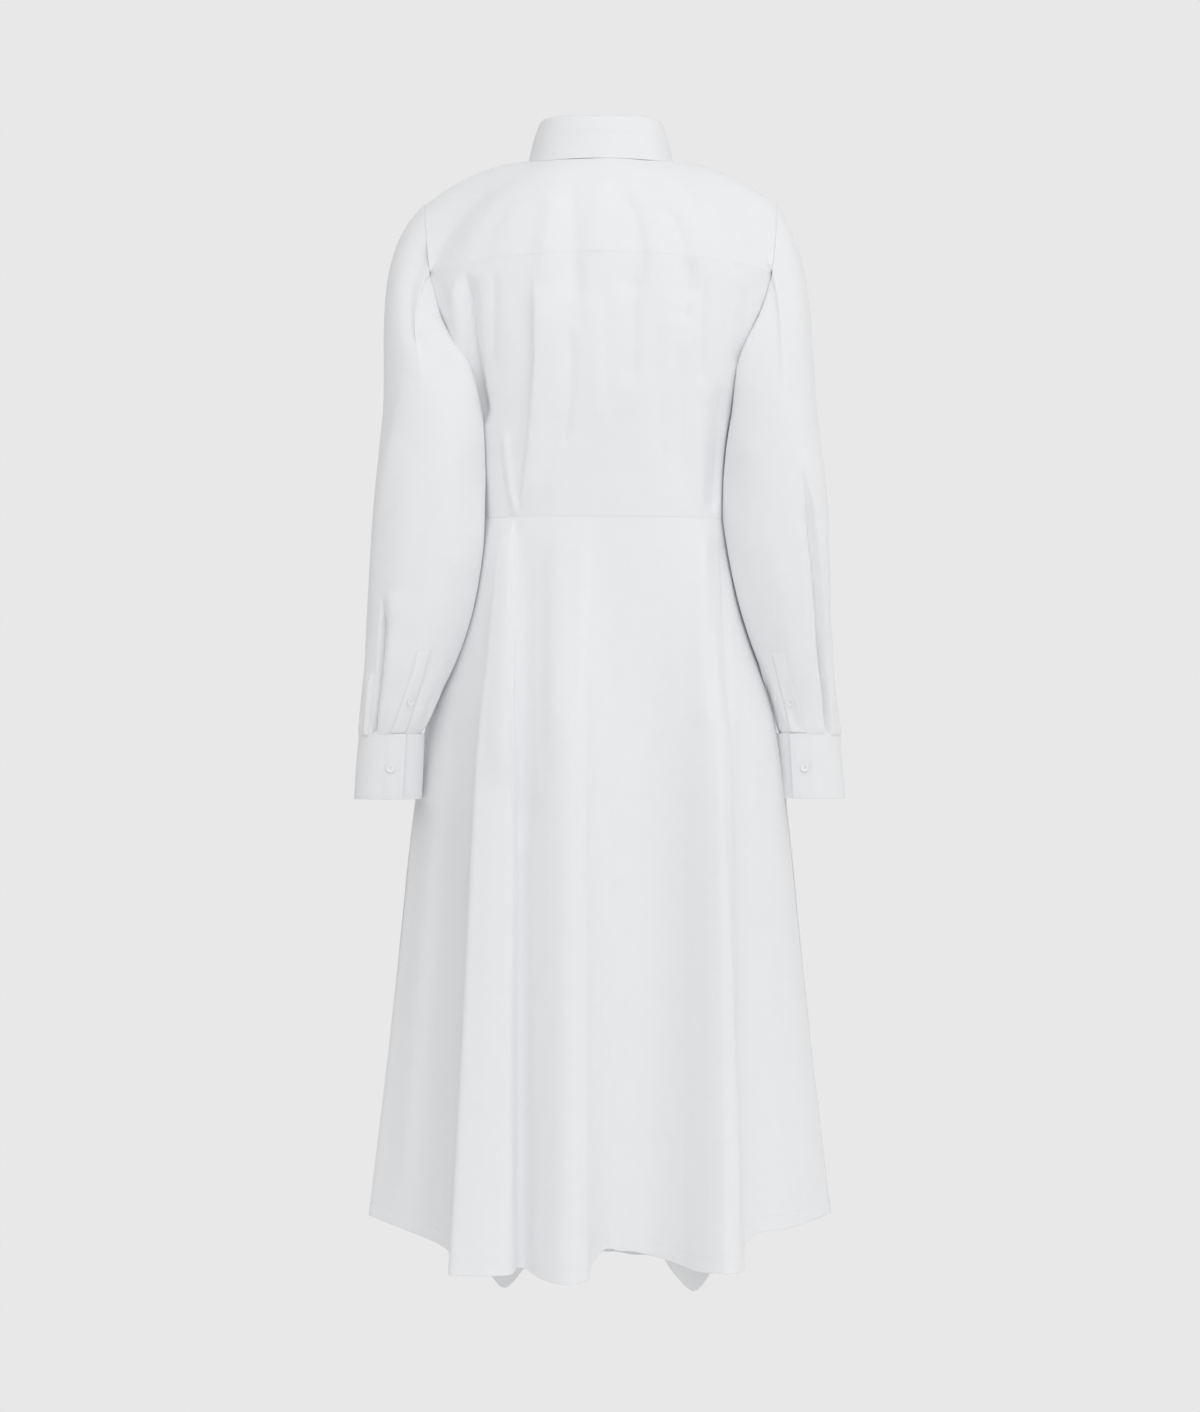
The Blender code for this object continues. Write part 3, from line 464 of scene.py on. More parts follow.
def fold_height(across, drop, folds):
    """Height of listed folds over a piece."""
    total = np.zeros(np.broadcast(across, drop).shape)
    for d0, a0, d1, a1, d2, a2, plus, minus, height in folds:
        t = np.clip((drop - d0) / (d2 - d0), 0.0, 1.0)
        middle = (d1 - d0) / (d2 - d0)
        bend = (a1 - a0 - (a2 - a0) * middle) / (middle * (middle - 1.0))
        line = a0 + (a2 - a0) * t + bend * t * (t - 1.0)
        away = across - line
        width = np.where(away > 0, plus, minus)
        swell = ease((drop - d0) / (0.22 * (d2 - d0))) * ease((d2 - drop) / (0.16 * (d2 - d0)))
        total += height * swell * np.exp(-(away / width) ** 2)
    return total


def unevenness(across, drop, seed, size, long=4.0):
    """Small soft waves in hanging cloth, the same every time."""
    turn = np.random.default_rng(seed)
    total = np.zeros(np.broadcast(across, drop).shape)
    for _ in range(9):
        wide = size * turn.uniform(0.6, 1.9)
        lean = turn.uniform(-0.35, 0.35)
        phase, drift = turn.uniform(0.0, 6.28, 2)
        wave = np.sin((across + lean * drop) / wide * 2.0 + phase)
        total += wave * (0.5 + 0.5 * np.sin(drop / (wide * long) + drift))
    return total / 6.0


# ---- the form ----------------------------------------------------------------------------
def body_point(drop, theta):
    """Body form; theta in degrees, 0 at centre back and 90 at the wearer's left."""
    drop = np.asarray(drop, float)
    size = smooth(BODY_LEVELS, drop)
    angle = np.radians(np.asarray(theta, float))
    sine = np.sin(angle)
    cosine = np.cos(angle)
    power = np.where(cosine >= 0, 2 / ROUND_BACK, 2 / ROUND_FRONT)
    depth = np.where(cosine >= 0, size[..., 1], size[..., 2])
    x = np.sign(sine) * size[..., 0] * np.abs(sine) ** power
    y = np.sign(cosine) * depth * np.abs(cosine) ** power
    return np.stack(np.broadcast_arrays(x, y, -drop), axis=-1)


def theta_at(x, drop, front):
    """Angle of the form where its surface is x from the centre line."""
    half = smooth(BODY_LEVELS, drop)[..., 0]
    power = (ROUND_FRONT if front else ROUND_BACK) / 2
    angle = np.degrees(np.arcsin(np.clip(abs(x) / half, 0.0, 1.0) ** power))
    angle = 180.0 - angle if front else angle
    return np.copysign(angle, x)


def edge_theta(drop, front):
    """Angle of the side seam, or of the armhole edge above the underarm."""
    if drop >= UNDERARM_DROP:
        depth = smooth(BODY_LEVELS, drop)[2 if front else 1]
        power = (ROUND_FRONT if front else ROUND_BACK) / 2
        turn = np.degrees(np.arccos((SEAM_GAP / depth) ** power))
        return float(180.0 - turn if front else turn)
    edge = smooth(ARMHOLE_EDGE, drop)
    return float(theta_at(edge[1] if front else edge[0], drop, front))


def neck_point(theta):
    """Neck seam; theta as on the form."""
    angle = np.radians(np.asarray(theta, float))
    cosine = np.cos(angle)
    x = NECK_HALF_WIDTH * np.sin(angle)
    y = NECK_MIDDLE_Y + np.where(cosine >= 0, NECK_BACK, NECK_FRONT) * cosine
    z = NECK_SIDE_Z - NECK_FRONT_FALL * np.clip(-cosine, 0.0, 1.0) ** 1.6
    return np.stack((x, y, z), axis=-1)


def body_row(drop, start, end, parts):
    """Angles at parts of the way round the form between two angles."""
    theta = np.linspace(start, end, 361)
    along = line_lengths(body_point(np.full_like(theta, drop), theta))
    return np.interp(np.asarray(parts) * along[-1], along, theta)


def skirt_point(part, theta):
    """Skirt surface; part is 0 at the waist seam and 1 at the hem."""
    part = np.asarray(part, float)
    waist = body_point(np.full(np.shape(theta), WAIST_DROP), theta)
    hem = smooth(SKIRT_FOLDS, theta)
    gain = smooth(SKIRT_FLARE, part)
    point = waist + (hem - waist) * gain
    z = waist[..., 2] + (hem[..., 2] - waist[..., 2]) * part
    return np.concatenate((point[..., :2], z[..., None]), axis=-1)


def grid_normals(grid, closed=False):
    """Directions square to a grid; closed when its last column meets its first."""
    if closed:
        around = np.roll(grid, -1, axis=1) - np.roll(grid, 1, axis=1)
    else:
        around = np.gradient(grid, axis=1)
    return unit(np.cross(around, np.gradient(grid, axis=0)))


def outside(grid, outward, closed=False, probe=None):
    """Normals on the outside of the garment, told by their direction at one grid point."""
    normals = grid_normals(grid, closed)
    probe = probe or tuple(size // 2 for size in grid.shape[:2])
    return -normals if np.dot(normals[probe], outward) < 0 else normals


def edge_gaps(grid):
    """Distance of each point from the first row, last row, first and last column."""
    down = line_lengths(grid)
    across = line_lengths(grid.swapaxes(0, 1)).T
    return down, down[-1:] - down, across, across[:, -1:] - across


def edge_roll(grid, edges, depth=0.22, width=1.5):
    """Dip beside the first row, last row, first and last column, times its weight there."""
    dip = np.zeros(grid.shape[:2])
    for weight, gap in zip(edges, edge_gaps(grid)):
        if weight:
            dip += float(weight) * depth * np.exp(-(gap / width) ** 2)
    return -dip


def groove(gap, away, depth, width):
    """Dip along a line of stitching at a distance from an edge."""
    return -depth * np.exp(-((gap - away) / width) ** 2)


def shaped(grid, outward, height):
    """A grid pushed out along its normals."""
    return grid + outside(grid, outward) * height[..., None]


# ---- meshes ------------------------------------------------------------------------------
def whole_round(grid, closed):
    """The grid, with its first column again at the end when it is closed."""
    return np.concatenate((grid, grid[:, :1]), axis=1) if closed else grid


def measured_uv(grid, closed):
    """Cloth coordinates in metres, so that the weave keeps its size."""
    columns = whole_round(grid, closed)
    u = line_lengths(columns.swapaxes(0, 1)).T
    u = u - u[:, u.shape[1] // 2:u.shape[1] // 2 + 1]
    return np.stack((u, -line_lengths(columns)), axis=-1) * MM


def quad_grid(rows, columns, spans):
    """Corners of the faces of a grid; as many spans as columns close it into a tube."""
    i = np.arange(rows - 1)[:, None] * columns
    j = np.arange(spans)[None, :]
    k = (j + 1) % columns
    corners = np.broadcast_arrays(i + j, i + k, i + columns + k, i + columns + j)
    return np.stack(corners, -1).reshape(-1, 4)


def turned_in(corners, outward):
    """Whether a face points against the outward direction."""
    return np.dot(np.cross(corners[1] - corners[0], corners[3] - corners[0]), outward) < 0


def cloth_wall(name, grid, thick, look, normals, closed=False):
    """Closed wall of cloth, half its thickness on each side of the grid."""
    rows, columns = grid.shape[:2]
    count = rows * columns
    points = np.concatenate((
        (grid + normals * thick / 2).reshape(-1, 3),
        (grid - normals * thick / 2).reshape(-1, 3),
    )) * MM
    spans = columns if closed else columns - 1
    outer = quad_grid(rows, columns, spans)
    inner = outer[:, ::-1] + count
    j = np.arange(spans)
    k = (j + 1) % columns
    last = (rows - 1) * columns
    rims = [
        np.stack((k, j, count + j, count + k), -1),
        np.stack((last + j, last + k, count + last + k, count + last + j), -1),
    ]
    if not closed:
        i = np.arange(rows - 1) * columns
        rims.append(np.stack((i, i + columns, count + i + columns, count + i), -1))
        e = i + columns - 1
        rims.append(np.stack((e + columns, e, count + e, count + e + columns), -1))
    faces = np.concatenate([outer, inner] + rims)
    uv = measured_uv(grid, closed)
    uv_index = quad_grid(rows, uv.shape[1], spans)
    flat = uv.reshape(-1, 2)
    face_uv = np.concatenate([flat[uv_index], flat[uv_index[:, ::-1]]])
    rim_uv = flat[np.concatenate(rims).reshape(-1) % count % len(flat)].reshape(-1, 4, 2)
    if turned_in(points[faces[0]], normals[0, 0]):
        faces = faces[:, ::-1]
        face_uv = face_uv[:, ::-1]
    corners = np.concatenate((face_uv, rim_uv)).reshape(-1, 2)
    return mesh_piece(name, points, faces, look, corners)


def mesh_piece(name, points, faces, look, corners=None):
    """Make one object from points in metres and four-sided faces."""
    if not np.isfinite(points).all():
        raise RuntimeError("%s: some of its points could not be worked out" % name)
    mesh = bpy.data.meshes.new(name)
    sides = faces.shape[1]
    mesh.vertices.add(len(points))
    mesh.vertices.foreach_set("co", np.ascontiguousarray(points, np.float32).reshape(-1))
    mesh.loops.add(faces.size)
    mesh.loops.foreach_set("vertex_index", np.ascontiguousarray(faces, np.int32).reshape(-1))
    mesh.polygons.add(len(faces))
    mesh.polygons.foreach_set("loop_start", np.arange(0, faces.size, sides, dtype=np.int32))
    if corners is not None:
        layer = mesh.uv_layers.new(name="Cloth")
        layer.data.foreach_set("uv", np.ascontiguousarray(corners, np.float32).reshape(-1))
    mesh.update(calc_edges=True)
    mesh.polygons.foreach_set("use_smooth", np.ones(len(faces), bool))
    mesh.validate()
    mesh.materials.append(look)
    made = bpy.data.objects.new(name, mesh)
    bpy.context.collection.objects.link(made)
    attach(made, "root")
    return made


def flat_size(grid, closed=False):
    """Width, length and area of the cloth in a grid, in metres."""
    columns = whole_round(grid, closed)
    width = line_lengths(columns.swapaxes(0, 1))[-1].max() * MM
    length = line_lengths(columns)[-1].max() * MM
    a = columns[1:, :-1] - columns[:-1, :-1]
    b = columns[:-1, 1:] - columns[:-1, :-1]
    c = columns[1:, :-1] - columns[1:, 1:]
    d = columns[:-1, 1:] - columns[1:, 1:]
    area = (np.linalg.norm(np.cross(a, b), axis=2) + np.linalg.norm(np.cross(c, d), axis=2)).sum()
    return round(float(width), 4), round(float(length), 4), float(area / 2 * MM * MM)


def declare(grid, node, closed=False):
    """Hide the node a cloth piece stands for; the size it was cut to is worked out but not used.
    """
    width, length, area = flat_size(grid, closed)
    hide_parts(node)


# ---- finishes ----------------------------------------------------------------------------
DOUBLED_PAINTED_SHADE = 0.935  # of the single cloth's colour: painted shade on the doubled collar, cuffs and band, whose cloth lets less light through than single cloth


def finish_named(name, build):
    """The material of this name, built the first time it is asked for."""
    made = bpy.data.materials.get(name)
    if made is None:
        made = bpy.data.materials.new(name)
        made.use_nodes = True
        build(made.node_tree)
    return made


def set_inputs(node, **values):
    """Set a node's inputs, named here with _ for each space."""
    for name, value in values.items():
        node.inputs[name.replace("_", " ")].default_value = value


def add_node(tree, kind, **values):
    """Add a node to a tree and set its inputs."""
    node = tree.nodes.new("ShaderNode" + kind)
    set_inputs(node, **values)
    return node


def toned(tree, noise, dark, light, ends=(0.0, 1.0)):
    """Colour the surface between two tones by a noise."""
    tone = add_node(tree, "ValToRGB")
    for element, colour, position in zip(tone.color_ramp.elements, (dark, light), ends):
        element.position = position
        element.color = tuple(colour) + (1.0,)
    tree.links.new(noise.outputs["Fac"], tone.inputs["Fac"])
    tree.links.new(tone.outputs["Color"], tree.nodes["Principled BSDF"].inputs["Base Color"])


def poplin_nodes(tree, settings, doubled):
    """Plain weave from two crossed thread waves, soft slubs and small creases."""
    shader = tree.nodes["Principled BSDF"]
    links = tree.links
    place = add_node(tree, "TexCoord")
    weave = add_node(tree, "Math")
    weave.operation = "MULTIPLY"
    for number, turn in enumerate((0.0, math.pi / 2)):
        mapping = add_node(tree, "Mapping", Rotation=(0.0, 0.0, turn))
        wave = add_node(tree, "TexWave", Scale=1.0 / (settings.thread_pitch * 6.2832) * 2.0,
                        Distortion=0.6, Detail=1.0)
        links.new(place.outputs["UV"], mapping.inputs["Vector"])
        links.new(mapping.outputs["Vector"], wave.inputs["Vector"])
        links.new(wave.outputs["Fac"], weave.inputs[number])
    slub = add_node(tree, "TexNoise", Scale=55.0, Detail=4.0, Roughness=0.6)
    crease = add_node(tree, "TexNoise", Scale=16.0, Detail=3.0, Roughness=0.55)
    for noise in (slub, crease):
        links.new(place.outputs["Object"], noise.inputs["Vector"])
    # Painted shade: the doubled cloth is coloured darker than the single cloth.
    colour = tuple(c * (DOUBLED_PAINTED_SHADE if doubled else 1.0) for c in settings.cloth_colour)
    toned(tree, slub, tuple(c * 0.985 for c in colour), colour, (0.25, 0.75))
    broad = add_node(tree, "Bump", Strength=0.5, Distance=0.0012)
    links.new(crease.outputs["Fac"], broad.inputs["Height"])
    fine = add_node(tree, "Bump", Strength=0.12, Distance=0.0001)
    links.new(weave.outputs[0], fine.inputs["Height"])
    links.new(broad.outputs["Normal"], fine.inputs["Normal"])
    links.new(fine.outputs["Normal"], shader.inputs["Normal"])
    set_inputs(shader, Roughness=0.82, Subsurface_Weight=0.2 if doubled else 0.4,
               Subsurface_Scale=0.002, Subsurface_Radius=(1.0, 1.0, 1.0),
               Specular_IOR_Level=0.25, Sheen_Weight=0.08, Sheen_Roughness=0.4)


def poplin(doubled=False):
    """Single cloth, or the denser doubled cloth of collar, cuffs and band, coloured darker as
    painted shade.
    """
    settings = bpy.context.scene.dress_cloth
    name = "white_poplin_doubled_shaded" if doubled else "white_poplin_cloth"
    return finish_named(name, lambda tree: poplin_nodes(tree, settings, doubled))


def thread_nodes(tree):
    """Twisted sewing thread."""
    place = add_node(tree, "TexCoord")
    twist = add_node(tree, "TexNoise", Scale=900.0)
    tree.links.new(place.outputs["Object"], twist.inputs["Vector"])
    toned(tree, twist, (0.88, 0.885, 0.895), (0.96, 0.96, 0.965))
    set_inputs(tree.nodes["Principled BSDF"], Roughness=0.6, Sheen_Weight=0.2)


def button_nodes(tree, colour):
    """Pressed plastic with a faint cloud and a soft gloss."""
    place = add_node(tree, "TexCoord")
    cloud = add_node(tree, "TexNoise", Scale=240.0, Detail=3.0)
    tree.links.new(place.outputs["Object"], cloud.inputs["Vector"])
    toned(tree, cloud, tuple(c * 0.93 for c in colour), colour)
    set_inputs(tree.nodes["Principled BSDF"], Roughness=0.3, Coat_Weight=0.2,
               Coat_Roughness=0.1)


def floor_nodes(tree):
    """Matt pale paint."""
    set_inputs(tree.nodes["Principled BSDF"], Base_Color=(0.86, 0.86, 0.86, 1.0), Roughness=0.9)


# ---- grids of the pieces -----------------------------------------------------------------
def bodice_drops(step, top=YOKE_DROP):
    """Drops of a bodice panel's rows, from just under the waist seam up."""
    low = WAIST_DROP + SEAM_UNDER
    parts = cloth_parts(low - top, step)
    return low - parts * (low - top)


def back_bodice_base(across_parts, drops):
    """Back bodice on the form; its top edge rises towards centre back."""
    rows = []
    across = np.asarray(across_parts) * 2.0 - 1.0
    for drop in drops:
        limit = edge_theta(drop, False)
        theta = body_row(drop, -limit, limit, across_parts)
        near_top = np.clip((UNDERARM_DROP - drop) / (UNDERARM_DROP - YOKE_DROP), 0.0, 1.0)
        rise = YOKE_RISE * near_top**1.5 * (1.0 - across**2)
        rows.append(body_point(drop - rise, theta))
    return np.array(rows)


def front_yoke_seam(parts):
    """Seam of the yoke in front of the shoulder, neck to armhole."""
    start = neck_point(np.array([NECK_YOKE_ANGLE]))
    end = SHOULDER_EDGE[-1:]
    dense = hermite(start, unit(YOKE_LEAVES[-1:, 1:]), end, YOKE_ARRIVES[-1:, 1:],
                    np.linspace(0.0, 1.0, 80))[:, 0]
    return at_parts(dense, parts)


def front_bodice_base(side, parts, drops, upper_parts, corner=0.42):
    """side is 1 for the wearer's left front, which runs under the band."""
    edge_x = LEFT_FRONT_EDGE if side > 0 else RIGHT_FRONT_EDGE
    lower = []
    for drop in drops:
        limit = edge_theta(drop, True)
        start = 180.0 + (180.0 - abs(theta_at(edge_x, drop, True))) * (1 if side > 0 else -1)
        lower.append(body_point(np.full(len(parts), drop), body_row(drop, start, limit, parts)))
    lower = np.array(lower)
    swing = np.degrees(np.arcsin(abs(edge_x) / NECK_HALF_WIDTH)) * (1 if side > 0 else -1)
    neck_dense = neck_point(np.linspace(180.0 + swing, NECK_YOKE_ANGLE, 90))
    neck_side = parts <= corner
    neckline = at_parts(neck_dense, parts[neck_side] / corner)
    seam = front_yoke_seam((parts[~neck_side] - corner) / (1.0 - corner))
    top = np.concatenate((neckline, seam))
    arrive = smooth(np.array((
        (0.0, 0.0, 0.55, 0.83),
        (corner, 0.0, 0.80, 0.60),
        (1.0, 0.10, 0.72, 0.69),
    )), parts)
    top = top - unit(arrive) * SEAM_GAP
    upper = hermite(lower[-1], unit(lower[-1] - lower[-2]), top, arrive, upper_parts)[1:]
    grid = np.concatenate((lower, upper))
    return grid if side > 0 else mirrored(grid)


def relaxed(grid, rounds):
    """A grid with creases inside it evened out, its edges and its fullness kept."""
    grid = grid.copy()
    for _ in range(rounds):
        for weight in (0.6, -0.57):
            mean = 0.25 * (grid[:-2, 1:-1] + grid[2:, 1:-1] + grid[1:-1, :-2] + grid[1:-1, 2:])
            grid[1:-1, 1:-1] += weight * (mean - grid[1:-1, 1:-1])
    return grid


def yoke_base(half_parts, rows):
    """Yoke over both shoulders, neck seam outwards; half_parts run from centre back round."""
    even = np.linspace(0.0, 1.0, 61)
    coarse = relaxed(yoke_plan(even, np.linspace(0.0, 1.0, 31)), 160)
    down = np.column_stack((np.linspace(0.0, 1.0, 31), coarse.reshape(31, -1)))
    grid = smooth(down, rows).reshape(len(rows), -1, 3)
    keys = np.concatenate((-even[:0:-1], even))
    wanted = np.concatenate((-half_parts[:0:-1], half_parts))
    across = np.column_stack((keys, grid.transpose(1, 0, 2).reshape(len(keys), -1)))
    return smooth(across, wanted).reshape(len(wanted), len(rows), 3).transpose(1, 0, 2)


def yoke_plan(half_parts, rows):
    """Yoke as curves from the neck seam to its outer edge, before it is evened out."""
    span = np.interp(half_parts, (0.0, 0.5, 1.0), (0.0, 52.0, NECK_YOKE_ANGLE))
    inner = neck_point(span)
    back = back_bodice_base(np.linspace(0.5, 1.0, 120), (YOKE_DROP,))[0]
    first = half_parts <= 0.5
    edge = np.concatenate((
        at_parts(back, half_parts[first] / 0.5) - np.array((0.0, 0.0, SEAM_LAP)),
        through(SHOULDER_EDGE, (half_parts[~first] - 0.5) / 0.5),
    ))
    grid = hermite(inner, unit(smooth(YOKE_LEAVES, half_parts)), edge,
                   smooth(YOKE_ARRIVES, half_parts), rows)
    return np.concatenate((mirrored(grid[:, :0:-1]), grid), axis=1)


def armhole_loop():
    """Armhole edge of the wearer's left, from the shoulder over the back and round."""
    shoulder = through(SHOULDER_EDGE, np.linspace(0.0, 1.0, 121))
    top = int(np.argmax(shoulder[:, 2]))
    drops = np.linspace(YOKE_DROP, UNDERARM_DROP, 110)
    back = np.array([body_point(d, edge_theta(d, False)) for d in drops])
    front = np.array([body_point(d, edge_theta(d, True)) for d in drops[::-1]])
    rows = np.array((YOKE_DROP + 2.0, YOKE_DROP))
    upper = front_bodice_base(1, np.linspace(0.0, 1.0, 31), rows,
                              np.linspace(0.0, 1.0, 24))[2:, -1]
    loop = np.concatenate((shoulder[top::-1], back[1:], front[1:], upper, shoulder[:top:-1]))
    return np.concatenate((loop, loop[:1]))


def side_limit(y, drop):
    """Distance from the centre line to the outside of the garment at a point beside it."""
    if drop < WAIST_DROP:
        theta = np.linspace(10.0, 170.0, 161)
        line = body_point(np.full_like(theta, max(drop, UNDERARM_DROP)), theta)
    else:
        theta = np.linspace(56.0, 132.0, 121)
        part = np.full_like(theta, (drop - WAIST_DROP) / HEM_BELOW_WAIST)
        line = skirt_point(part, theta)
    order = np.argsort(line[:, 1])
    return np.interp(y, line[order, 1], line[order, 0], left=0.0, right=0.0)


def sleeve_ring(side, drop, angles):
    """Points round the sleeve; 0 is its outer line, 90 its back, 180 next to the body."""
    table = SLEEVE_LEFT if side > 0 else SLEEVE_RIGHT
    size = smooth(table, np.array([drop]))[0]
    angle = np.radians(angles)
    cosine, sine = np.cos(angle), np.sin(angle)
    power = 0.55 * ((1.0 + cosine) / 2) ** 2 - 0.75 * ((1.0 - cosine) / 2) ** 2
    square = ease((drop - SLEEVE_MOUTH_DROP) / 60.0) * ease((632.0 - drop) / 90.0)
    power = 2.0 / (2.0 + power * square)
    x = size[0] + size[2] * np.sign(cosine) * np.abs(cosine) ** power
    y = size[1] + size[3] * np.sign(sine) * np.abs(sine) ** power
    return np.stack((x, y, np.full_like(x, -drop)), axis=-1)


def sleeve_base(side, columns, head_rows, drops):
    """The sleeve as a tube, armhole to cuff, and the angle of each of its columns."""
    angles = np.linspace(0.0, 360.0, columns, endpoint=False)
    loop = at_parts(armhole_loop(), np.linspace(0.0, 1.0, columns + 1))[:-1]
    closeness = (1.0 - np.cos(np.radians(angles))) / 2
    loop = loop + np.array((1.0, 0.0, -0.1)) * SEAM_GAP
    first = sleeve_ring(side, SLEEVE_MOUTH_DROP, angles)
    down = sleeve_ring(side, SLEEVE_MOUTH_DROP + 8.0, angles) - first
    swing = np.radians(angles)
    leave = unit(np.stack((
        (0.56 if side > 0 else 0.34) - 0.05 * closeness,
        0.16 * np.sin(swing),
        -0.50 - 0.50 * closeness,
    ), axis=-1))
    over = np.exp(-((angles - 146.0) / (34.0 if side > 0 else 44.0)) ** 2)[:, None]
    leave = leave * (1.0 - over) + np.array((-1.15, 1.05, -0.50)) * over
    head = hermite(loop, leave, first, down, head_rows)
    rows = np.array([sleeve_ring(side, drop, angles) for drop in drops])
    return np.concatenate((head, rows)), angles


def push_clear(grid, clear):
    """Sleeve cloth lies against the body and the skirt, never inside them."""
    out = grid.copy()
    drops = -grid[..., 2]
    for row in range(grid.shape[0]):
        if drops[row].max() < UNDERARM_DROP:
            continue
        low = float(np.median(drops[row]))
        limit = side_limit(grid[row, :, 1], max(low, UNDERARM_DROP)) + clear
        if np.ptp(drops[row]) > 2.0:
            limit = np.array([side_limit(p[1], max(-p[2], UNDERARM_DROP)) for p in grid[row]])
            limit = np.where(drops[row] > UNDERARM_DROP, limit + clear, 0.0)
        gap = grid[row, :, 0] - limit
        pushed = limit + 0.5 * (gap + np.sqrt(gap * gap + SLEEVE_SOFT_TOUCH))
        out[row, :, 0] = np.where(gap < 12.0, pushed, grid[row, :, 0])
    return out


def sleeve_shape(side, columns=236):
    """Finished sleeve surface: folds, small waves, held clear of the body."""
    head_rows = np.unique(np.concatenate((np.linspace(0.0, 1.0, 46), (0.006, 0.014, 0.028))))
    drops = np.concatenate((np.arange(295.0, 628.0, 3.4),
                            (629.4, CUFF_TOP_DROP, 632.0, SLEEVE_END_DROP)))
    grid, angles = sleeve_base(side, columns, head_rows, drops)
    folds = SLEEVE_LEFT_FOLDS if side > 0 else SLEEVE_RIGHT_FOLDS
    drop = -grid[..., 2]
    around = np.broadcast_to(angles[None, :], drop.shape)
    height = np.zeros(drop.shape)
    for shift in (-360.0, 0.0, 360.0):
        height += fold_height(around + shift, drop, folds)
    turn = np.radians(angles)[None, :]
    wave = unevenness(60.0 * np.sin(turn) + 45.0 * np.cos(turn), drop, 11 if side > 0 else 23,
                      34.0)
    quiet = ease((SLEEVE_END_DROP - drop) / 30.0) * ease(np.arange(drop.shape[0]) / 14.0)[:, None]
    height += wave * 0.9 * quiet
    crumple = unevenness(38.0 * np.sin(turn) + 30.0 * np.cos(turn), drop, 61 + side, 9.0, 2.5)
    height += 4.5 * crumple * ease((drop - 500.0) / 90.0) * ease((SLEEVE_END_DROP - drop) / 10.0)
    crease = unevenness(44.0 * np.sin(turn) - 30.0 * np.cos(turn), drop, 71 + side, 18.0, 1.5)
    height += 2.2 * crease * ease((drop - 330.0) / 120.0) * ease((SLEEVE_END_DROP - drop) / 20.0)
    height += edge_roll(grid, (0.5, 0, 0, 0))
    height *= ease((SLEEVE_END_DROP - drop) / 6.0)
    grid = push_clear(grid + tube_normals(grid, 1) * height[..., None], SLEEVE_CLEAR)
    return grid if side > 0 else mirrored(grid)


def tube_normals(grid, side):
    """Outside of a sleeve."""
    return outside(grid, (side, 0, 0), True, (grid.shape[0] // 2, 0))


# ---- settings ----------------------------------------------------------------------------
class DressClothSettings(bpy.types.PropertyGroup):
    """Cloth and thread of the dress"""

    cloth_colour: bpy.props.FloatVectorProperty(
        name="Cloth colour", description="Colour of the white poplin", subtype="COLOR",
        size=3, min=0.0, max=1.0, default=(0.915, 0.922, 0.934))
    cloth_thick: bpy.props.FloatProperty(
        name="Cloth thickness", description="Thickness of one layer of poplin",
        default=0.0007, min=0.0003, max=0.0015, unit="LENGTH", subtype="DISTANCE")
    thread_pitch: bpy.props.FloatProperty(
        name="Weave pitch", description="Distance from one thread to the next but one",
        default=0.0006, min=0.0003, max=0.003, unit="LENGTH", subtype="DISTANCE")
    fold_scale: bpy.props.FloatProperty(
        name="Fold height", description="How high the hand-laid folds stand",
        default=1.25, min=0.0, max=2.0, subtype="FACTOR")
    mesh_step: bpy.props.FloatProperty(
        name="Mesh step", description="Spacing of the cloth mesh",
        default=0.0036, min=0.002, max=0.02, unit="LENGTH", subtype="DISTANCE")


class DressTrimSettings(bpy.types.PropertyGroup):
    """Buttons and stitching"""

    button_colour: bpy.props.FloatVectorProperty(
        name="Button colour", description="Colour of the plastic buttons", subtype="COLOR",
        size=3, min=0.0, max=1.0, default=(0.93, 0.93, 0.925))
    stitch_length: bpy.props.FloatProperty(
        name="Stitch length", description="Length of one topstitch",
        default=0.0024, min=0.001, max=0.006, unit="LENGTH", subtype="DISTANCE")
    stitch_thick: bpy.props.FloatProperty(
        name="Thread thickness", description="Thickness of the topstitching thread",
        default=0.0004, min=0.0002, max=0.001, unit="LENGTH", subtype="DISTANCE")


class DressStageSettings(bpy.types.PropertyGroup):
    """Studio light and camera"""

    backdrop: bpy.props.FloatProperty(
        name="Backdrop", description="Brightness of the pale backdrop",
        default=0.807, min=0.0, max=1.0)
    sky: bpy.props.FloatProperty(
        name="Room light", description="Soft light from all round",
        default=0.718, min=0.0, max=3.0)
    lean: bpy.props.FloatProperty(
        name="Light side", description="How much brighter the room is on the camera's right",
        default=0.27, min=0.0, max=1.0, subtype="FACTOR")
    key: bpy.props.FloatProperty(
        name="Key light", description="Large soft light beside the camera",
        default=20.0, min=0.0, max=500.0, unit="POWER")
    distance: bpy.props.FloatProperty(
        name="Camera distance", description="From the camera to the middle of the dress",
        default=4.5, min=1.0, max=10.0, unit="LENGTH", subtype="DISTANCE")


# ---- panels of the body ------------------------------------------------------------------
def back_waves(x, drop, settings):
    """Folds and small waves that run on from the yoke into the back bodice."""
    height = fold_height(x, drop, np.concatenate((BACK_FOLDS, YOKE_FOLDS)))
    even = 0.9 * unevenness(x, drop, 3, 30.0) + 0.35 * unevenness(x, drop, 43, 12.0, 5.0)
    return height * settings.fold_scale + even * ease((WAIST_DROP - drop) / 30.0)


def calm_at_band(x):
    """0 under and beside the front band, 1 well away from it."""
    return ease((np.abs(x) - 16.0) / 22.0)


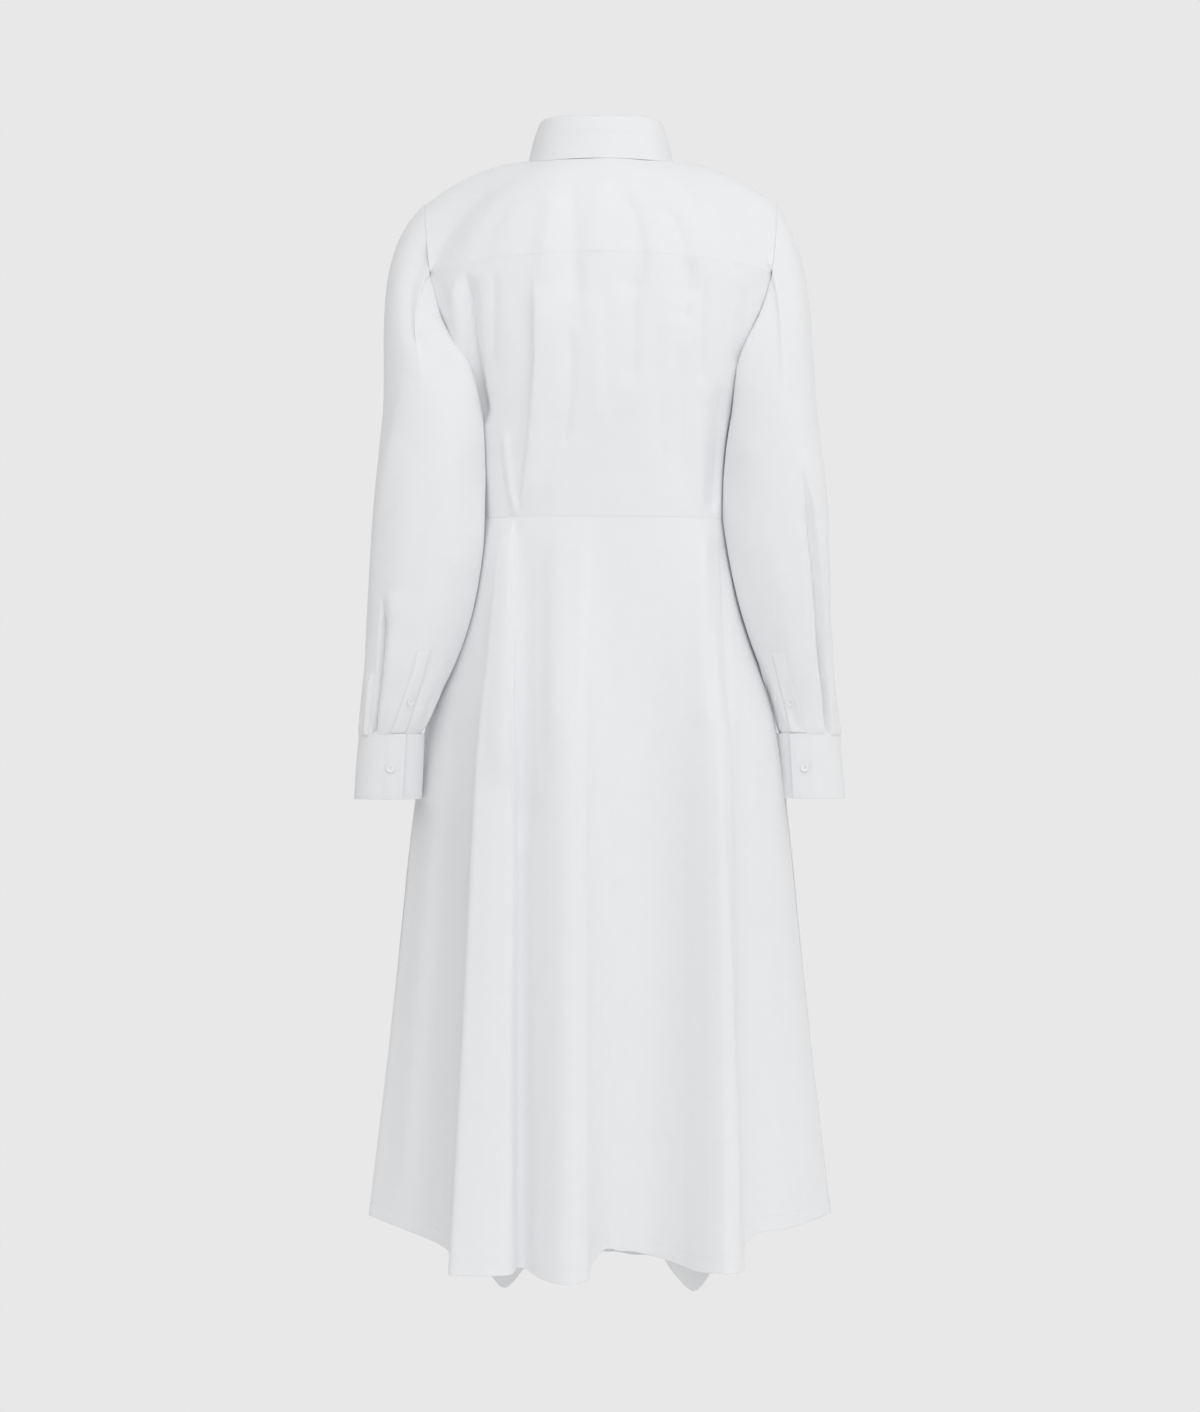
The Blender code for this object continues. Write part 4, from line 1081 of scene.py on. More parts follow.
def back_bodice_shape(settings):
    """Back bodice with its folds."""
    step = settings.mesh_step / MM
    parts = cloth_parts(BACK_ACROSS, step * 0.6)
    drops = bodice_drops(step * 0.8, YOKE_DROP - SEAM_UNDER)
    grid = back_bodice_base(parts, drops)
    x, drop = grid[..., 0], -grid[..., 2]
    height = back_waves(x, drop, settings)
    height *= ease((WAIST_DROP - drop) / 6.0 + 0.35)
    height += edge_roll(grid, (1.3, 0, 0.4, 0.4))
    return shaped(grid, (0, 1, 0), height)


def front_bodice_shape(side, settings):
    """Front panel of one side with its folds, from the waist up over the chest."""
    step = settings.mesh_step / MM
    parts = cloth_parts(FRONT_ACROSS, step)
    drops = bodice_drops(step)
    upper = np.linspace(0.0, 1.0, int(FRONT_UPPER / step))
    grid = front_bodice_base(side, parts, drops, upper)
    x, drop = grid[..., 0], -grid[..., 2]
    height = fold_height(x, drop, FRONT_FOLDS) * settings.fold_scale
    height += 0.8 * unevenness(x, drop, 5, 30.0)
    height *= calm_at_band(x) * ease((WAIST_DROP - drop) / 6.0 + 0.35)
    height += edge_roll(grid, (1.3, 0, 0, 1))
    return shaped(grid, (0, -1, 0), height)


def yoke_shape(settings):
    """Yoke with the folds that run on from the back bodice."""
    step = settings.mesh_step / MM
    half = cloth_parts(YOKE_HALF_ROUND, step * 0.75)
    rows = cloth_parts(YOKE_DEEP, step * 0.85)
    grid = yoke_base(half, rows)
    x, drop = grid[..., 0], -grid[..., 2]
    behind = ease((grid[..., 1] - 4.0) / 24.0)
    height = back_waves(x, drop, settings) * behind
    height += 0.35 * unevenness(x, drop, 7, 32.0) * (1.0 - behind)
    height += edge_roll(grid, (0, 1.3, 0, 0))
    return shaped(grid, (0, 1, 0), height)


def band_base(parts, columns):
    """Front band from the neck seam to the hem, lying over both fronts."""
    across = np.linspace(-PLACKET_HALF, PLACKET_HALF, columns)
    drops = np.linspace(WAIST_DROP, YOKE_DROP, 90)
    rows = []
    for drop in drops:
        theta = np.array([theta_at(x if abs(x) > 0.1 else 0.1, drop, True) for x in across])
        rows.append(body_point(np.full(columns, drop), theta))
    left = front_bodice_base(1, np.linspace(0.0, 1.0, 61), drops[-2:], np.linspace(0, 1, 26))
    for row in left[2:]:
        order = np.argsort(row[:24, 0])
        y = np.interp(across, row[order, 0], row[order, 1])
        z = np.interp(across, row[order, 0], row[order, 2])
        rows.append(np.column_stack((across, y, z)))
    rows = rows[::-1]
    theta = 180.0 - across * (6.0 / 16.4)
    theta = np.where(theta > 180.0, theta - 360.0, theta)
    for part in np.linspace(0.0, 1.0, 180)[1:]:
        row = skirt_point(np.full(columns, part), theta)
        row[:, 0] = across
        rows.append(row)
    grid = np.array(rows)
    middle = line_lengths(grid[:, columns // 2])
    wanted = np.asarray(parts) * middle[-1]
    out = np.empty((len(parts), columns, 3))
    for column in range(columns):
        for axis in range(3):
            out[:, column, axis] = np.interp(wanted, middle, grid[:, column, axis])
    tangent = np.gradient(out, axis=0)
    lift = np.stack((np.zeros(out.shape[:2]), tangent[..., 2], -tangent[..., 1]), axis=-1)
    out = out + unit(lift) * PLACKET_LIFT
    out[0, :, 2] -= 0.3
    return out


def band_strip():
    """The band with the columns its folded edges need."""
    return band_base(cloth_parts(BAND_LONG, 4.0), 15)


class DRESS_OT_back(bpy.types.Operator):
    """Back bodice and the yoke over the shoulders"""

    bl_idname = "dress.back"
    bl_label = "Back and yoke"

    def execute(self, context):
        settings = context.scene.dress_cloth
        thick = settings.cloth_thick / MM
        grid = back_bodice_shape(settings)
        piece = cloth_wall("back_bodice_cloth", grid, thick, poplin(), outside(grid, (0, 1, 0)))
        declare(grid, "back_bodice")
        grid = yoke_shape(settings)
        piece = cloth_wall("back_yoke_cloth", grid, thick, poplin(), outside(grid, (0, 1, 0)))
        declare(grid, "back_yoke")
        return {"FINISHED"}


class DRESS_OT_front(bpy.types.Operator):
    """Front bodice panels and the button band"""

    bl_idname = "dress.front"
    bl_label = "Fronts and band"

    def execute(self, context):
        settings = context.scene.dress_cloth
        thick = settings.cloth_thick / MM
        for side, name in ((1, "left"), (-1, "right")):
            grid = front_bodice_shape(side, settings)
            piece = cloth_wall("front_bodice_%s_cloth" % name, grid, thick, poplin(),
                               outside(grid, (0, -1, 0)))
            declare(grid, "front_bodice_" + name)
        grid = band_strip()
        height = edge_roll(grid, (0, 0, 1, 1), 0.45, 1.6)
        height += groove(np.abs(grid[..., 0]), PLACKET_HALF - TOPSTITCH, 0.25, 1.0)
        height += 0.35 * unevenness(grid[..., 0], -grid[..., 2], 9, 18.0, 3.0)
        grid = shaped(grid, (0, -1, 0), height)
        piece = cloth_wall("front_band_cloth", grid, DOUBLED_THICK, poplin(True),
                           outside(grid, (0, -1, 0)))
        declare(grid, "front_placket")
        return {"FINISHED"}


# ---- skirt -------------------------------------------------------------------------------
def skirt_angles(start, end, step):
    """Angles between two seams, spaced along the cloth and closer beside the sharp pleats."""
    theta = np.linspace(start, end, 4000)
    line = skirt_point(np.full_like(theta, 0.75), theta)
    closer = np.ones(len(theta))
    for pleat in SHARP_PLEATS:
        closer += 3.5 * np.exp(-((theta - pleat) / 1.3) ** 2)
    steps = np.linalg.norm(np.diff(line, axis=0), axis=1) * closer[1:]
    along = np.concatenate(([0.0], np.cumsum(steps)))
    return np.interp(cloth_parts(along[-1], step) * along[-1], along, theta)


def skirt_shape(start, end, pleats, seed, front, settings):
    """One skirt panel, seam to seam and waist to hem, with its folds."""
    step = settings.mesh_step / MM
    theta = skirt_angles(start, end, step * (1.6 if front else 1.25))
    shown = np.where(theta > 180.0, theta - 360.0, theta)
    parts = cloth_parts(SKIRT_LONG, step * 1.7)
    grid = skirt_point(*np.broadcast_arrays(parts[:, None], shown[None, :]))
    x, drop = grid[..., 0], -grid[..., 2]
    height = fold_height(x, drop, pleats) * settings.fold_scale
    height *= ease((drop - WAIST_DROP) / 10.0)
    height += 1.1 * unevenness(x * 0.8, drop, seed, 46.0, 6.0) * ease((drop - WAIST_DROP) / 90.0)
    if front:
        height *= calm_at_band(x)
    height += edge_roll(grid, (0, 0, int(not front), int(not front)))
    height += groove(edge_gaps(grid)[1], HEM_TURN, 0.3, 2.6)
    return shaped(grid, (0, -1, 0) if front else (0, 1, 0), height)


class DRESS_OT_skirt(bpy.types.Operator):
    """Skirt back and skirt fronts with their hanging folds"""

    bl_idname = "dress.skirt"
    bl_label = "Skirt"

    def execute(self, context):
        settings = context.scene.dress_cloth
        thick = settings.cloth_thick / MM
        for name, start, end, pleats, seed, front in SKIRT_PANELS:
            grid = skirt_shape(start, end, pleats, seed, front, settings)
            if name == "front_right":
                grid[:, 0, 0] = -PLACKET_HALF - 0.5
            piece = cloth_wall("skirt_%s_cloth" % name, grid, thick, poplin(),
                               outside(grid, (0, -1 if front else 1, 0)))
            declare(grid, "skirt_" + name)
        return {"FINISHED"}


# ---- sleeves -----------------------------------------------------------------------------
def sleeve_placket_shape(side):
    """Strip laid over the slit above the cuff."""
    table = SLEEVE_LEFT if side > 0 else SLEEVE_RIGHT
    surface = sleeve_shape(side)
    surface = surface if side > 0 else mirrored(surface)
    columns = surface.shape[1]
    middle = SLEEVE_SLIT[side]
    drops = np.linspace(SLIT_TOP_DROP, CUFF_TOP_DROP - 0.6, 34)
    row_drop = -surface[:, :, 2].mean(axis=1)
    rows = []
    for drop in drops:
        size = smooth(table, np.array([drop]))[0]
        swing = np.degrees(SLIT_HALF / size[2:].mean())
        wanted = np.linspace(middle - swing, middle + swing, 9) / 360.0 * columns
        row = np.empty((9, 3))
        for axis in range(3):
            line = np.array([np.interp(drop, row_drop[40:], surface[40:, c, axis])
                             for c in range(columns)])
            row[:, axis] = np.interp(wanted, np.arange(columns), line)
        rows.append(row)
    grid = np.array(rows)
    grid[:, :, 2] = -drops[:, None]
    size = smooth(table, np.array([585.0]))[0]
    away = grid[17, 4] - np.array((size[0], size[1], -585.0))
    height = 0.75 + edge_roll(grid, (1, 0, 1, 1), 0.3, 1.4)
    grid = shaped(grid, away, height)
    return grid if side > 0 else mirrored(grid)


def cuff_shape(side, columns=150):
    """Cuff strip; its over-lap end lies outside its under-lap end at the back."""
    turn = 360.0 + CUFF_LAP
    top_x, top_y, low_x, low_y = CUFF_CENTRES[side]
    start = SLEEVE_SLIT[side] + 14.0
    angle = np.radians(np.linspace(start, start - turn, columns))
    gone = np.linspace(0.0, turn, columns)
    step = CUFF_STEP * (1.0 - np.clip(gone / 90.0, 0.0, 1.0)) ** 2
    grid = []
    for part in cloth_parts(CUFF_END_DROP - CUFF_TOP_DROP, 2.9):
        drop = CUFF_TOP_DROP + (CUFF_END_DROP - CUFF_TOP_DROP) * part
        radius = CUFF_RADIUS + step - 0.8 * (1.0 - part)
        dent = 0.6 * np.sin(angle * 2.0 + 0.8 * side) * math.sin(part * 3.1)
        reach = 1.0 + 0.16 * np.clip(-np.cos(angle), 0.0, 1.0)
        x = top_x + (low_x - top_x) * part + (radius + dent) * np.cos(angle) * reach
        y = top_y + (low_y - top_y) * part + (radius + dent) * np.sin(angle)
        grid.append(np.stack((x, y, np.full_like(x, -drop)), axis=-1))
    grid = np.array(grid)
    return grid if side > 0 else mirrored(grid)


def cuff_normals(grid, side):
    """Outside of a cuff."""
    top_x, top_y, low_x, low_y = CUFF_CENTRES[side]
    probe = (grid.shape[0] // 2, 60)
    middle = np.array((side * (top_x + low_x) / 2, (top_y + low_y) / 2, grid[probe][2]))
    return outside(grid, grid[probe] - middle, probe=probe)


def placket_normals(grid, side):
    """Outside of a sleeve placket."""
    return outside(grid, (0.3 * side, 1, 0))


class DRESS_OT_sleeves(bpy.types.Operator):
    """Sleeves with their plackets and cuffs"""

    bl_idname = "dress.sleeves"
    bl_label = "Sleeves and cuffs"

    def execute(self, context):
        settings = context.scene.dress_cloth
        thick = settings.cloth_thick / MM
        for side, name in ((1, "left"), (-1, "right")):
            grid = sleeve_shape(side)
            piece = cloth_wall("sleeve_%s_cloth" % name, grid, thick, poplin(),
                               tube_normals(grid, side), closed=True)
            declare(grid, "sleeve_" + name, closed=True)
            grid = sleeve_placket_shape(side)
            piece = cloth_wall("sleeve_placket_%s_cloth" % name, grid, SLIT_THICK, poplin(),
                               placket_normals(grid, side))
            declare(grid, "sleeve_placket_" + name)
            grid = cuff_shape(side)
            normals = cuff_normals(grid, side)
            dip = edge_roll(grid, (1, 0, 1, 1), 0.3, 1.4)
            down = np.linspace(0.0, 71.0, grid.shape[0])[:, None]
            dip = dip + groove(down, 71.0 - TOPSTITCH, 0.22, 1.1)
            way = np.broadcast_to(np.linspace(0.0, CUFF_ROUND, grid.shape[1]), grid.shape[:2])
            calm = ease(np.linspace(0.0, 5.0, grid.shape[0]))[:, None]
            dip = dip + 0.8 * calm * unevenness(way, grid[..., 2], 83 + side, 15.0, 1.2)
            grid = grid + normals * dip[..., None]
            piece = cloth_wall("cuff_%s_cloth" % name, grid, CUFF_THICK, poplin(True), normals)
            declare(grid, "cuff_" + name)
        return {"FINISHED"}


# ---- collar ------------------------------------------------------------------------------
def collar_guides(station):
    """Guide points at signed stations round the collar, smooth across the centre back."""
    other = COLLAR[:0:-1] * np.array([-1.0] + [-1.0, 1.0, 1.0] * 4)
    return smooth(np.concatenate((other, COLLAR)), station).reshape(len(station), 4, 3)


def stand_shape(columns=190):
    """Collar stand from its under-lap to its over-lap end, neck seam upwards."""
    station = np.linspace(-1.03, 1.03, columns)
    angle = np.interp(np.abs(station), (0.0, 0.22, 0.45, 0.66, 0.84, 1.0, 1.03),
                      (0.0, 41.0, 90.0, 128.0, 154.0, 180.0, 188.0))
    bottom = neck_point(angle * np.sign(station))
    top = collar_guides(np.clip(station, -0.96, 0.96))[:, 0].copy()
    beyond = np.interp(np.abs(station), (0.96, 1.03), (10.0, -10.0))
    front = np.abs(station) > 0.96
    top[:, 0] = np.where(front, beyond * np.sign(station), top[:, 0])
    top[:, 1] = np.where(front, -75.0 - 0.4 * (1 - np.abs(beyond) / 10), top[:, 1])
    top[:, 2] = np.where(front, -43.0, top[:, 2])
    bottom = bottom + np.array((0.0, 0.0, 1.2))
    over = ease((station - 0.70) / 0.22)
    under = ease((-station - 0.70) / 0.22)
    shift = np.zeros_like(bottom)
    shift[:, 1] = -1.3 * under + 1.3 * over
    parts = cloth_parts(30.0, 2.5)
    return np.array([bottom + (top - bottom) * part + shift for part in parts])


def fall_shape(columns=180):
    """Turned-down collar from the stand over its fold to the lower edge."""
    station = np.linspace(-0.96, 0.96, columns)
    guides = collar_guides(station)
    along = np.gradient(guides[:, 1], axis=0)
    outward = unit(np.stack((-along[:, 1], along[:, 0], np.zeros(columns)), axis=-1))
    side = np.sign(np.sum(outward * guides[:, 1] * np.array((1, 1, 0)), axis=1))
    outward = outward * side[:, None]
    up = np.array((0.0, 0.0, 1.0))
    base = guides[:, 0] + up * 1.2
    top, middle, low = guides[:, 1], guides[:, 2], guides[:, 3]
    rows = np.array((
        base,
        base * 0.35 + (top - outward * 2.2 - up * 3.0) * 0.65,
        top - outward * 1.8 - up * 1.1,
        top + outward * 1.2,
        top + outward * 3.9 - up * 2.2,
        (top + outward * 5.0 - up * 5.0) * 0.5 + middle * 0.5 + outward * 0.6,
        middle,
        middle * 0.5 + low * 0.5,
        low,
    ))
    keys = np.array((0.0, 0.09, 0.17, 0.22, 0.28, 0.44, 0.62, 0.81, 1.0))
    flat = np.column_stack((keys, rows.reshape(len(keys), -1)))
    parts = np.unique(np.concatenate((np.linspace(0.0, 0.3, 16), np.linspace(0.3, 1.0, 26),
                                      (0.985, 0.995))))
    return smooth(flat, parts).reshape(len(parts), columns, 3)


def fall_normals(grid):
    """Outside of the turned-down collar."""
    return outside(grid, (0, 1, 0), probe=(grid.shape[0] * 3 // 4, grid.shape[1] // 2))


class DRESS_OT_collar(bpy.types.Operator):
    """Collar stand and turned-down fall"""

    bl_idname = "dress.collar"
    bl_label = "Collar"

    def execute(self, context):
        grid = stand_shape()
        normals = outside(grid, (0, 1, 0))
        grid = grid + normals * edge_roll(grid, (1, 1, 1, 1), 0.3, 1.6)[..., None]
        piece = cloth_wall("collar_stand_cloth", grid, DOUBLED_THICK, poplin(True), normals)
        declare(grid, "collar_stand")
        grid = fall_shape()
        normals = fall_normals(grid)
        dip = edge_roll(grid, (0, 1, 1, 1), 0.35, 1.3)
        dip += groove(np.minimum.reduce(edge_gaps(grid)[1:]), TOPSTITCH, 0.25, 0.9)
        dip += 0.35 * unevenness(grid[..., 0], -grid[..., 2] * 2.0, 13, 26.0, 2.0)
        grid = grid + normals * dip[..., None]
        piece = cloth_wall("collar_fall_cloth", grid, DOUBLED_THICK, poplin(True), normals)
        declare(grid, "collar_fall")
        return {"FINISHED"}


# ---- buttons -----------------------------------------------------------------------------
def button_axes(outward):
    """Outward, sideways and upward directions of a button."""
    outward = unit(np.asarray(outward, float))
    side = unit(np.cross(outward, np.array((0.0, 0.0, 1.0))))
    return outward, side, np.cross(side, outward)


def button_mesh(name, centre, outward, radius, look, count=40):
    """Turned four-hole button: raised rim, dished face, holes drawn down as wells."""
    outward, side, up = button_axes(outward)
    turn = np.linspace(0.0, 2 * np.pi, count, endpoint=False)
    reach = BUTTON_PROFILE[:, :1] * radius
    a, b = reach * np.cos(turn), reach * np.sin(turn)
    level = BUTTON_PROFILE[:, 1:] * BUTTON_THICK + 0.0 * a
    face = np.arange(len(BUTTON_PROFILE))[:, None] >= BUTTON_FACE
    out_by = BUTTON_HOLE_OUT * radius
    for hole_x, hole_y in ((1, 1), (1, -1), (-1, 1), (-1, -1)):
        gap = np.hypot(a - hole_x * out_by, b - hole_y * out_by)
        level = level - np.where(face, 0.5 * BUTTON_THICK * ease((0.15 * radius - gap) / 0.3), 0.0)
    points = centre + outward * level[..., None] + side * a[..., None] + up * b[..., None]
    quads = quad_grid(len(BUTTON_PROFILE), count, count)
    flat = points.reshape(-1, 3) * MM
    rim = flat[quads[2 * count]]
    if turned_in(rim, rim.mean(axis=0) - (centre + outward * 0.3) * MM):
        quads = quads[:, ::-1]
    made = mesh_piece(name, flat, quads, look)
    return made


def thread_cross(name, centre, outward, radius, look):
    """Sewing thread between the holes: two bars of doubled thread."""
    outward, side, up = button_axes(outward)
    reach = BUTTON_HOLE_OUT * radius
    level = BUTTON_PROFILE[-1, 1] * BUTTON_THICK
    starts, ends, lifts = [], [], []
    for row in (-1, 1):
        for strand in (-0.22, 0.0, 0.22):
            base = centre + up * (row * reach + strand) + outward * level
            starts.append(base - side * reach)
            ends.append(base + side * reach)
            lifts.append(outward)
    return thread_bars(name, np.array(starts), np.array(ends), np.array(lifts), 0.34, look)


def thread_bars(name, starts, ends, lifts, thick, look, sides=6):
    """Short lengths of thread, each arched over the cloth with its ends sunk in it."""
    side = unit(np.cross(unit(ends - starts), lifts))
    rings = []
    for part, rise, slim in ((0.0, -0.35, 0.45), (0.16, 0.12, 0.9), (0.5, 0.3, 1.0),
                             (0.84, 0.12, 0.9), (1.0, -0.35, 0.45)):
        spot = starts + (ends - starts) * part + lifts * rise * thick
        ring = [spot + (side * math.cos(t) + lifts * math.sin(t)) * thick * 0.5 * slim
                for t in np.linspace(0.0, 2 * math.pi, sides, endpoint=False)]
        rings.append(np.stack(ring, axis=1))
    flat = np.stack(rings, axis=1).reshape(-1, 3) * MM
    start = np.arange(len(starts))[:, None] * len(rings) * sides
    one = quad_grid(len(rings), sides, sides)
    faces = [(start[:, :, None] + one).reshape(-1, 4)]
    for corner in ((0, 1, 2, 3), (0, 3, 4, 5)):
        faces.append(start + np.array(corner[::-1]))
        faces.append(start + (len(rings) - 1) * sides + np.array(corner))
    faces = np.concatenate(faces)
    first = flat[faces[sides]]
    second, third = flat[sides:2 * sides], flat[2 * sides:3 * sides]
    out = first.mean(axis=0) - second.mean(axis=0) * 0.5 - third.mean(axis=0) * 0.5
    if turned_in(first, out):
        faces = faces[:, ::-1]
    made = mesh_piece(name, flat, faces, look)
    return made


def button_spots():
    """Name, centre, outward direction and radius of every button."""
    spots = []
    band = band_base(np.linspace(0.0, 1.0, 400), 5)[:, 2]
    order = np.argsort(band[:, 2])
    z, y = band[order, 2], band[order, 1]
    for number, drop in enumerate(FRONT_BUTTON_DROPS, start=1):
        slope = (np.interp(-drop + 5, z, y) - np.interp(-drop - 5, z, y)) / 10
        out = unit(np.array((0.0, -1.0, slope)))
        centre = np.array((0.0, np.interp(-drop, z, y), -drop)) + out * 1.25
        spots.append(("front_button_%d" % number, centre, out, BUTTON_RADIUS))
    stand = stand_shape()[6, 0]
    spots.append(("collar_button", np.array((0.5, stand[1] - 3.0, stand[2] + 1.0)),
                  np.array((0.0, -1.0, 0.12)), SMALL_BUTTON_RADIUS))
    for side, name in ((1, "left"), (-1, "right")):
        strip = sleeve_placket_shape(side)
        normals = placket_normals(strip, side)
        spots.append(("sleeve_button_" + name, strip[20, 4] + normals[20, 4] * 0.7,
                      normals[20, 4], SMALL_BUTTON_RADIUS))
        cuff = cuff_shape(side)
        normals = cuff_normals(cuff, side)
        row = cuff.shape[0] // 2
        spots.append(("cuff_button_" + name, cuff[row, 9] + normals[row, 9] * 1.25,
                      normals[row, 9], SMALL_BUTTON_RADIUS))
    return spots


class DRESS_OT_buttons(bpy.types.Operator):
    """Four-hole buttons, sewn on with crossed thread"""

    bl_idname = "dress.buttons"
    bl_label = "Buttons"

    def execute(self, context):
        trim = context.scene.dress_trim
        colour = tuple(trim.button_colour)
        plastic = finish_named("button_plastic", lambda tree: button_nodes(tree, colour))
        thread = finish_named("sewing_thread", thread_nodes)
        for name, centre, outward, radius in button_spots():
            piece = button_mesh(name + "_turned", centre, outward, radius, plastic)
            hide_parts(name)
            thread_cross(name + "_thread", centre, outward, radius, thread)
        return {"FINISHED"}


# ---- stitching ---------------------------------------------------------------------------
def stitches(name, lines, settings, look):
    """Rows of topstitching; lines holds (points, outward directions) in millimetres."""
    pitch = settings.stitch_length / MM
    starts, ends, lifts = [], [], []
    for points, outward in lines:
        along = line_lengths(points)
        count = max(2, int(along[-1] / (pitch * 1.25)))
        begin = np.linspace(0.0, along[-1] - pitch, count)
        for shift, store in ((0.0, starts), (pitch, ends)):
            store.append(np.stack([np.interp(begin + shift, along, points[:, a])
                                   for a in range(3)], axis=1))
        lifts.append(unit(np.stack([np.interp(begin, along, outward[:, a])
                                    for a in range(3)], axis=1)))
    return thread_bars(name, np.concatenate(starts), np.concatenate(ends),
                       np.concatenate(lifts), settings.stitch_thick / MM, look)


def inset_line(grid, normals, away, edge, lift):
    """A line on a piece at a set distance from one of its edges, with its directions."""
    gap = edge_gaps(grid)[("first_row", "last_row", "first_column", "last_column").index(edge)]
    if edge.endswith("row"):
        gap, grid, normals = gap.T, grid.swapaxes(0, 1), normals.swapaxes(0, 1)
    points, outward = [], []
    for line, spots, turned in zip(gap, grid, normals):
        order = np.argsort(line)
        points.append([np.interp(away, line[order], spots[order, a]) for a in range(3)])
        outward.append([np.interp(away, line[order], turned[order, a]) for a in range(3)])
    points, outward = np.array(points), unit(np.array(outward))
    return points + outward * lift, outward


def collar_lines():
    """Along the fall's three free edges and the seam of the stand."""
    fall = fall_shape()
    normals = fall_normals(fall)
    lines = [inset_line(fall, normals, TOPSTITCH, "last_row", 0.55)]
    for end in ("first_column", "last_column"):
        points, outward = inset_line(fall, normals, TOPSTITCH, end, 0.55)
        lines.append((points[18:-4], outward[18:-4]))
    stand = stand_shape()
    lines.append(inset_line(stand, outside(stand, (0, 1, 0)), EDGESTITCH, "first_row", 0.7))
    return lines


def cuff_lines(side):
    """Round one cuff and its sleeve placket."""
    cuff = cuff_shape(side)
    normals = cuff_normals(cuff, side)
    lines = [inset_line(cuff, normals, away, edge, lift) for away, edge, lift in (
        (TOPSTITCH, "last_row", 0.6), (EDGESTITCH, "first_row", 0.75),
        (TOPSTITCH, "first_column", 0.75))]
    strip = sleeve_placket_shape(side)
    normals = placket_normals(strip, side)
    return lines + [inset_line(strip, normals, 1.8, end, 0.42)
                    for end in ("first_column", "last_column", "first_row")]


class DRESS_OT_stitching(bpy.types.Operator):
    """Topstitching along the collar, cuffs, band, plackets, yoke and hem"""

    bl_idname = "dress.stitching"
    bl_label = "Stitching"

    def execute(self, context):
        cloth = context.scene.dress_cloth
        trim = context.scene.dress_trim
        thread = finish_named("sewing_thread", thread_nodes)
        stitches("collar_stitches", collar_lines(), trim, thread)
        band = band_strip()
        normals = outside(band, (0, -1, 0))
        stitches("band_stitches", [
            inset_line(band, normals, TOPSTITCH, end, 0.55)
            for end in ("first_column", "last_column")
        ], trim, thread)
        yoke = yoke_shape(cloth)
        normals = outside(yoke, (0, 1, 0))
        stitches("yoke_stitches", [
            inset_line(yoke, normals, EDGESTITCH, end, 0.35)
            for end in ("last_row", "first_column", "last_column")
        ], trim, thread)
        for side, name in ((1, "left"), (-1, "right")):
            stitches("cuff_stitches_" + name, cuff_lines(side), trim, thread)
        for name, start, end, pleats, seed, front in SKIRT_PANELS:
            skirt = skirt_shape(start, end, pleats, seed, front, cloth)
            normals = outside(skirt, (0, -1 if front else 1, 0))
            line = inset_line(skirt, normals, HEM_TURN, "last_row", 0.36)
            stitches("hem_stitches_" + name.split("_")[-1], [line], trim, thread)
        return {"FINISHED"}


# ---- stage, in metres --------------------------------------------------------------------
CAMERA_AIM = (0.001, 0.0, -0.6006)
CAMERA_LENS = 104.3
FLOOR_HEIGHT = -1.72
LIGHT_SIDE = (-0.54, 0.83, 0.10)
KEY_PLACE = (-0.5, 2.9, 1.4)
KEY_TARGET = (0.0, 0.0, -0.2)
KEY_SIZE = 2.2


def aim(thing, target):
    """Turn a light or camera towards a point."""
    direction = Vector(target) - thing.location
    thing.rotation_euler = direction.to_track_quat("-Z", "Y").to_euler()


def area_light(name, place, target, size, power):
    """Round soft light at a place, aimed at a target."""
    data = bpy.data.lights.new(name, "AREA")
    data.shape = "DISK"
    data.size = size
    data.energy = power
    lamp = bpy.data.objects.new(name, data)
    lamp.location = place
    bpy.context.collection.objects.link(lamp)
    aim(lamp, target)


def room_nodes(tree, stage):
    """Soft light, brighter from one side, and an even backdrop for the camera."""
    tree.nodes.clear()
    links = tree.links
    place = add_node(tree, "TexCoord")
    lean = add_node(tree, "VectorMath")
    lean.operation = "DOT_PRODUCT"
    lean.inputs[1].default_value = LIGHT_SIDE
    glow = add_node(tree, "Math")
    glow.operation = "MULTIPLY_ADD"
    glow.inputs[1].default_value = stage.sky * stage.lean
    glow.inputs[2].default_value = stage.sky
    room = add_node(tree, "Background", Color=(0.985, 0.992, 1.0, 1.0))
    links.new(place.outputs["Generated"], lean.inputs[0])
    links.new(lean.outputs["Value"], glow.inputs[0])
    links.new(glow.outputs["Value"], room.inputs["Strength"])
    wall = add_node(tree, "Background", Color=(1.0, 1.0, 1.0, 1.0), Strength=stage.backdrop)
    path = add_node(tree, "LightPath")
    mix = add_node(tree, "MixShader")
    out = add_node(tree, "OutputWorld")
    links.new(path.outputs["Is Camera Ray"], mix.inputs["Fac"])
    links.new(room.outputs["Background"], mix.inputs[1])
    links.new(wall.outputs["Background"], mix.inputs[2])
    links.new(mix.outputs["Shader"], out.inputs["Surface"])


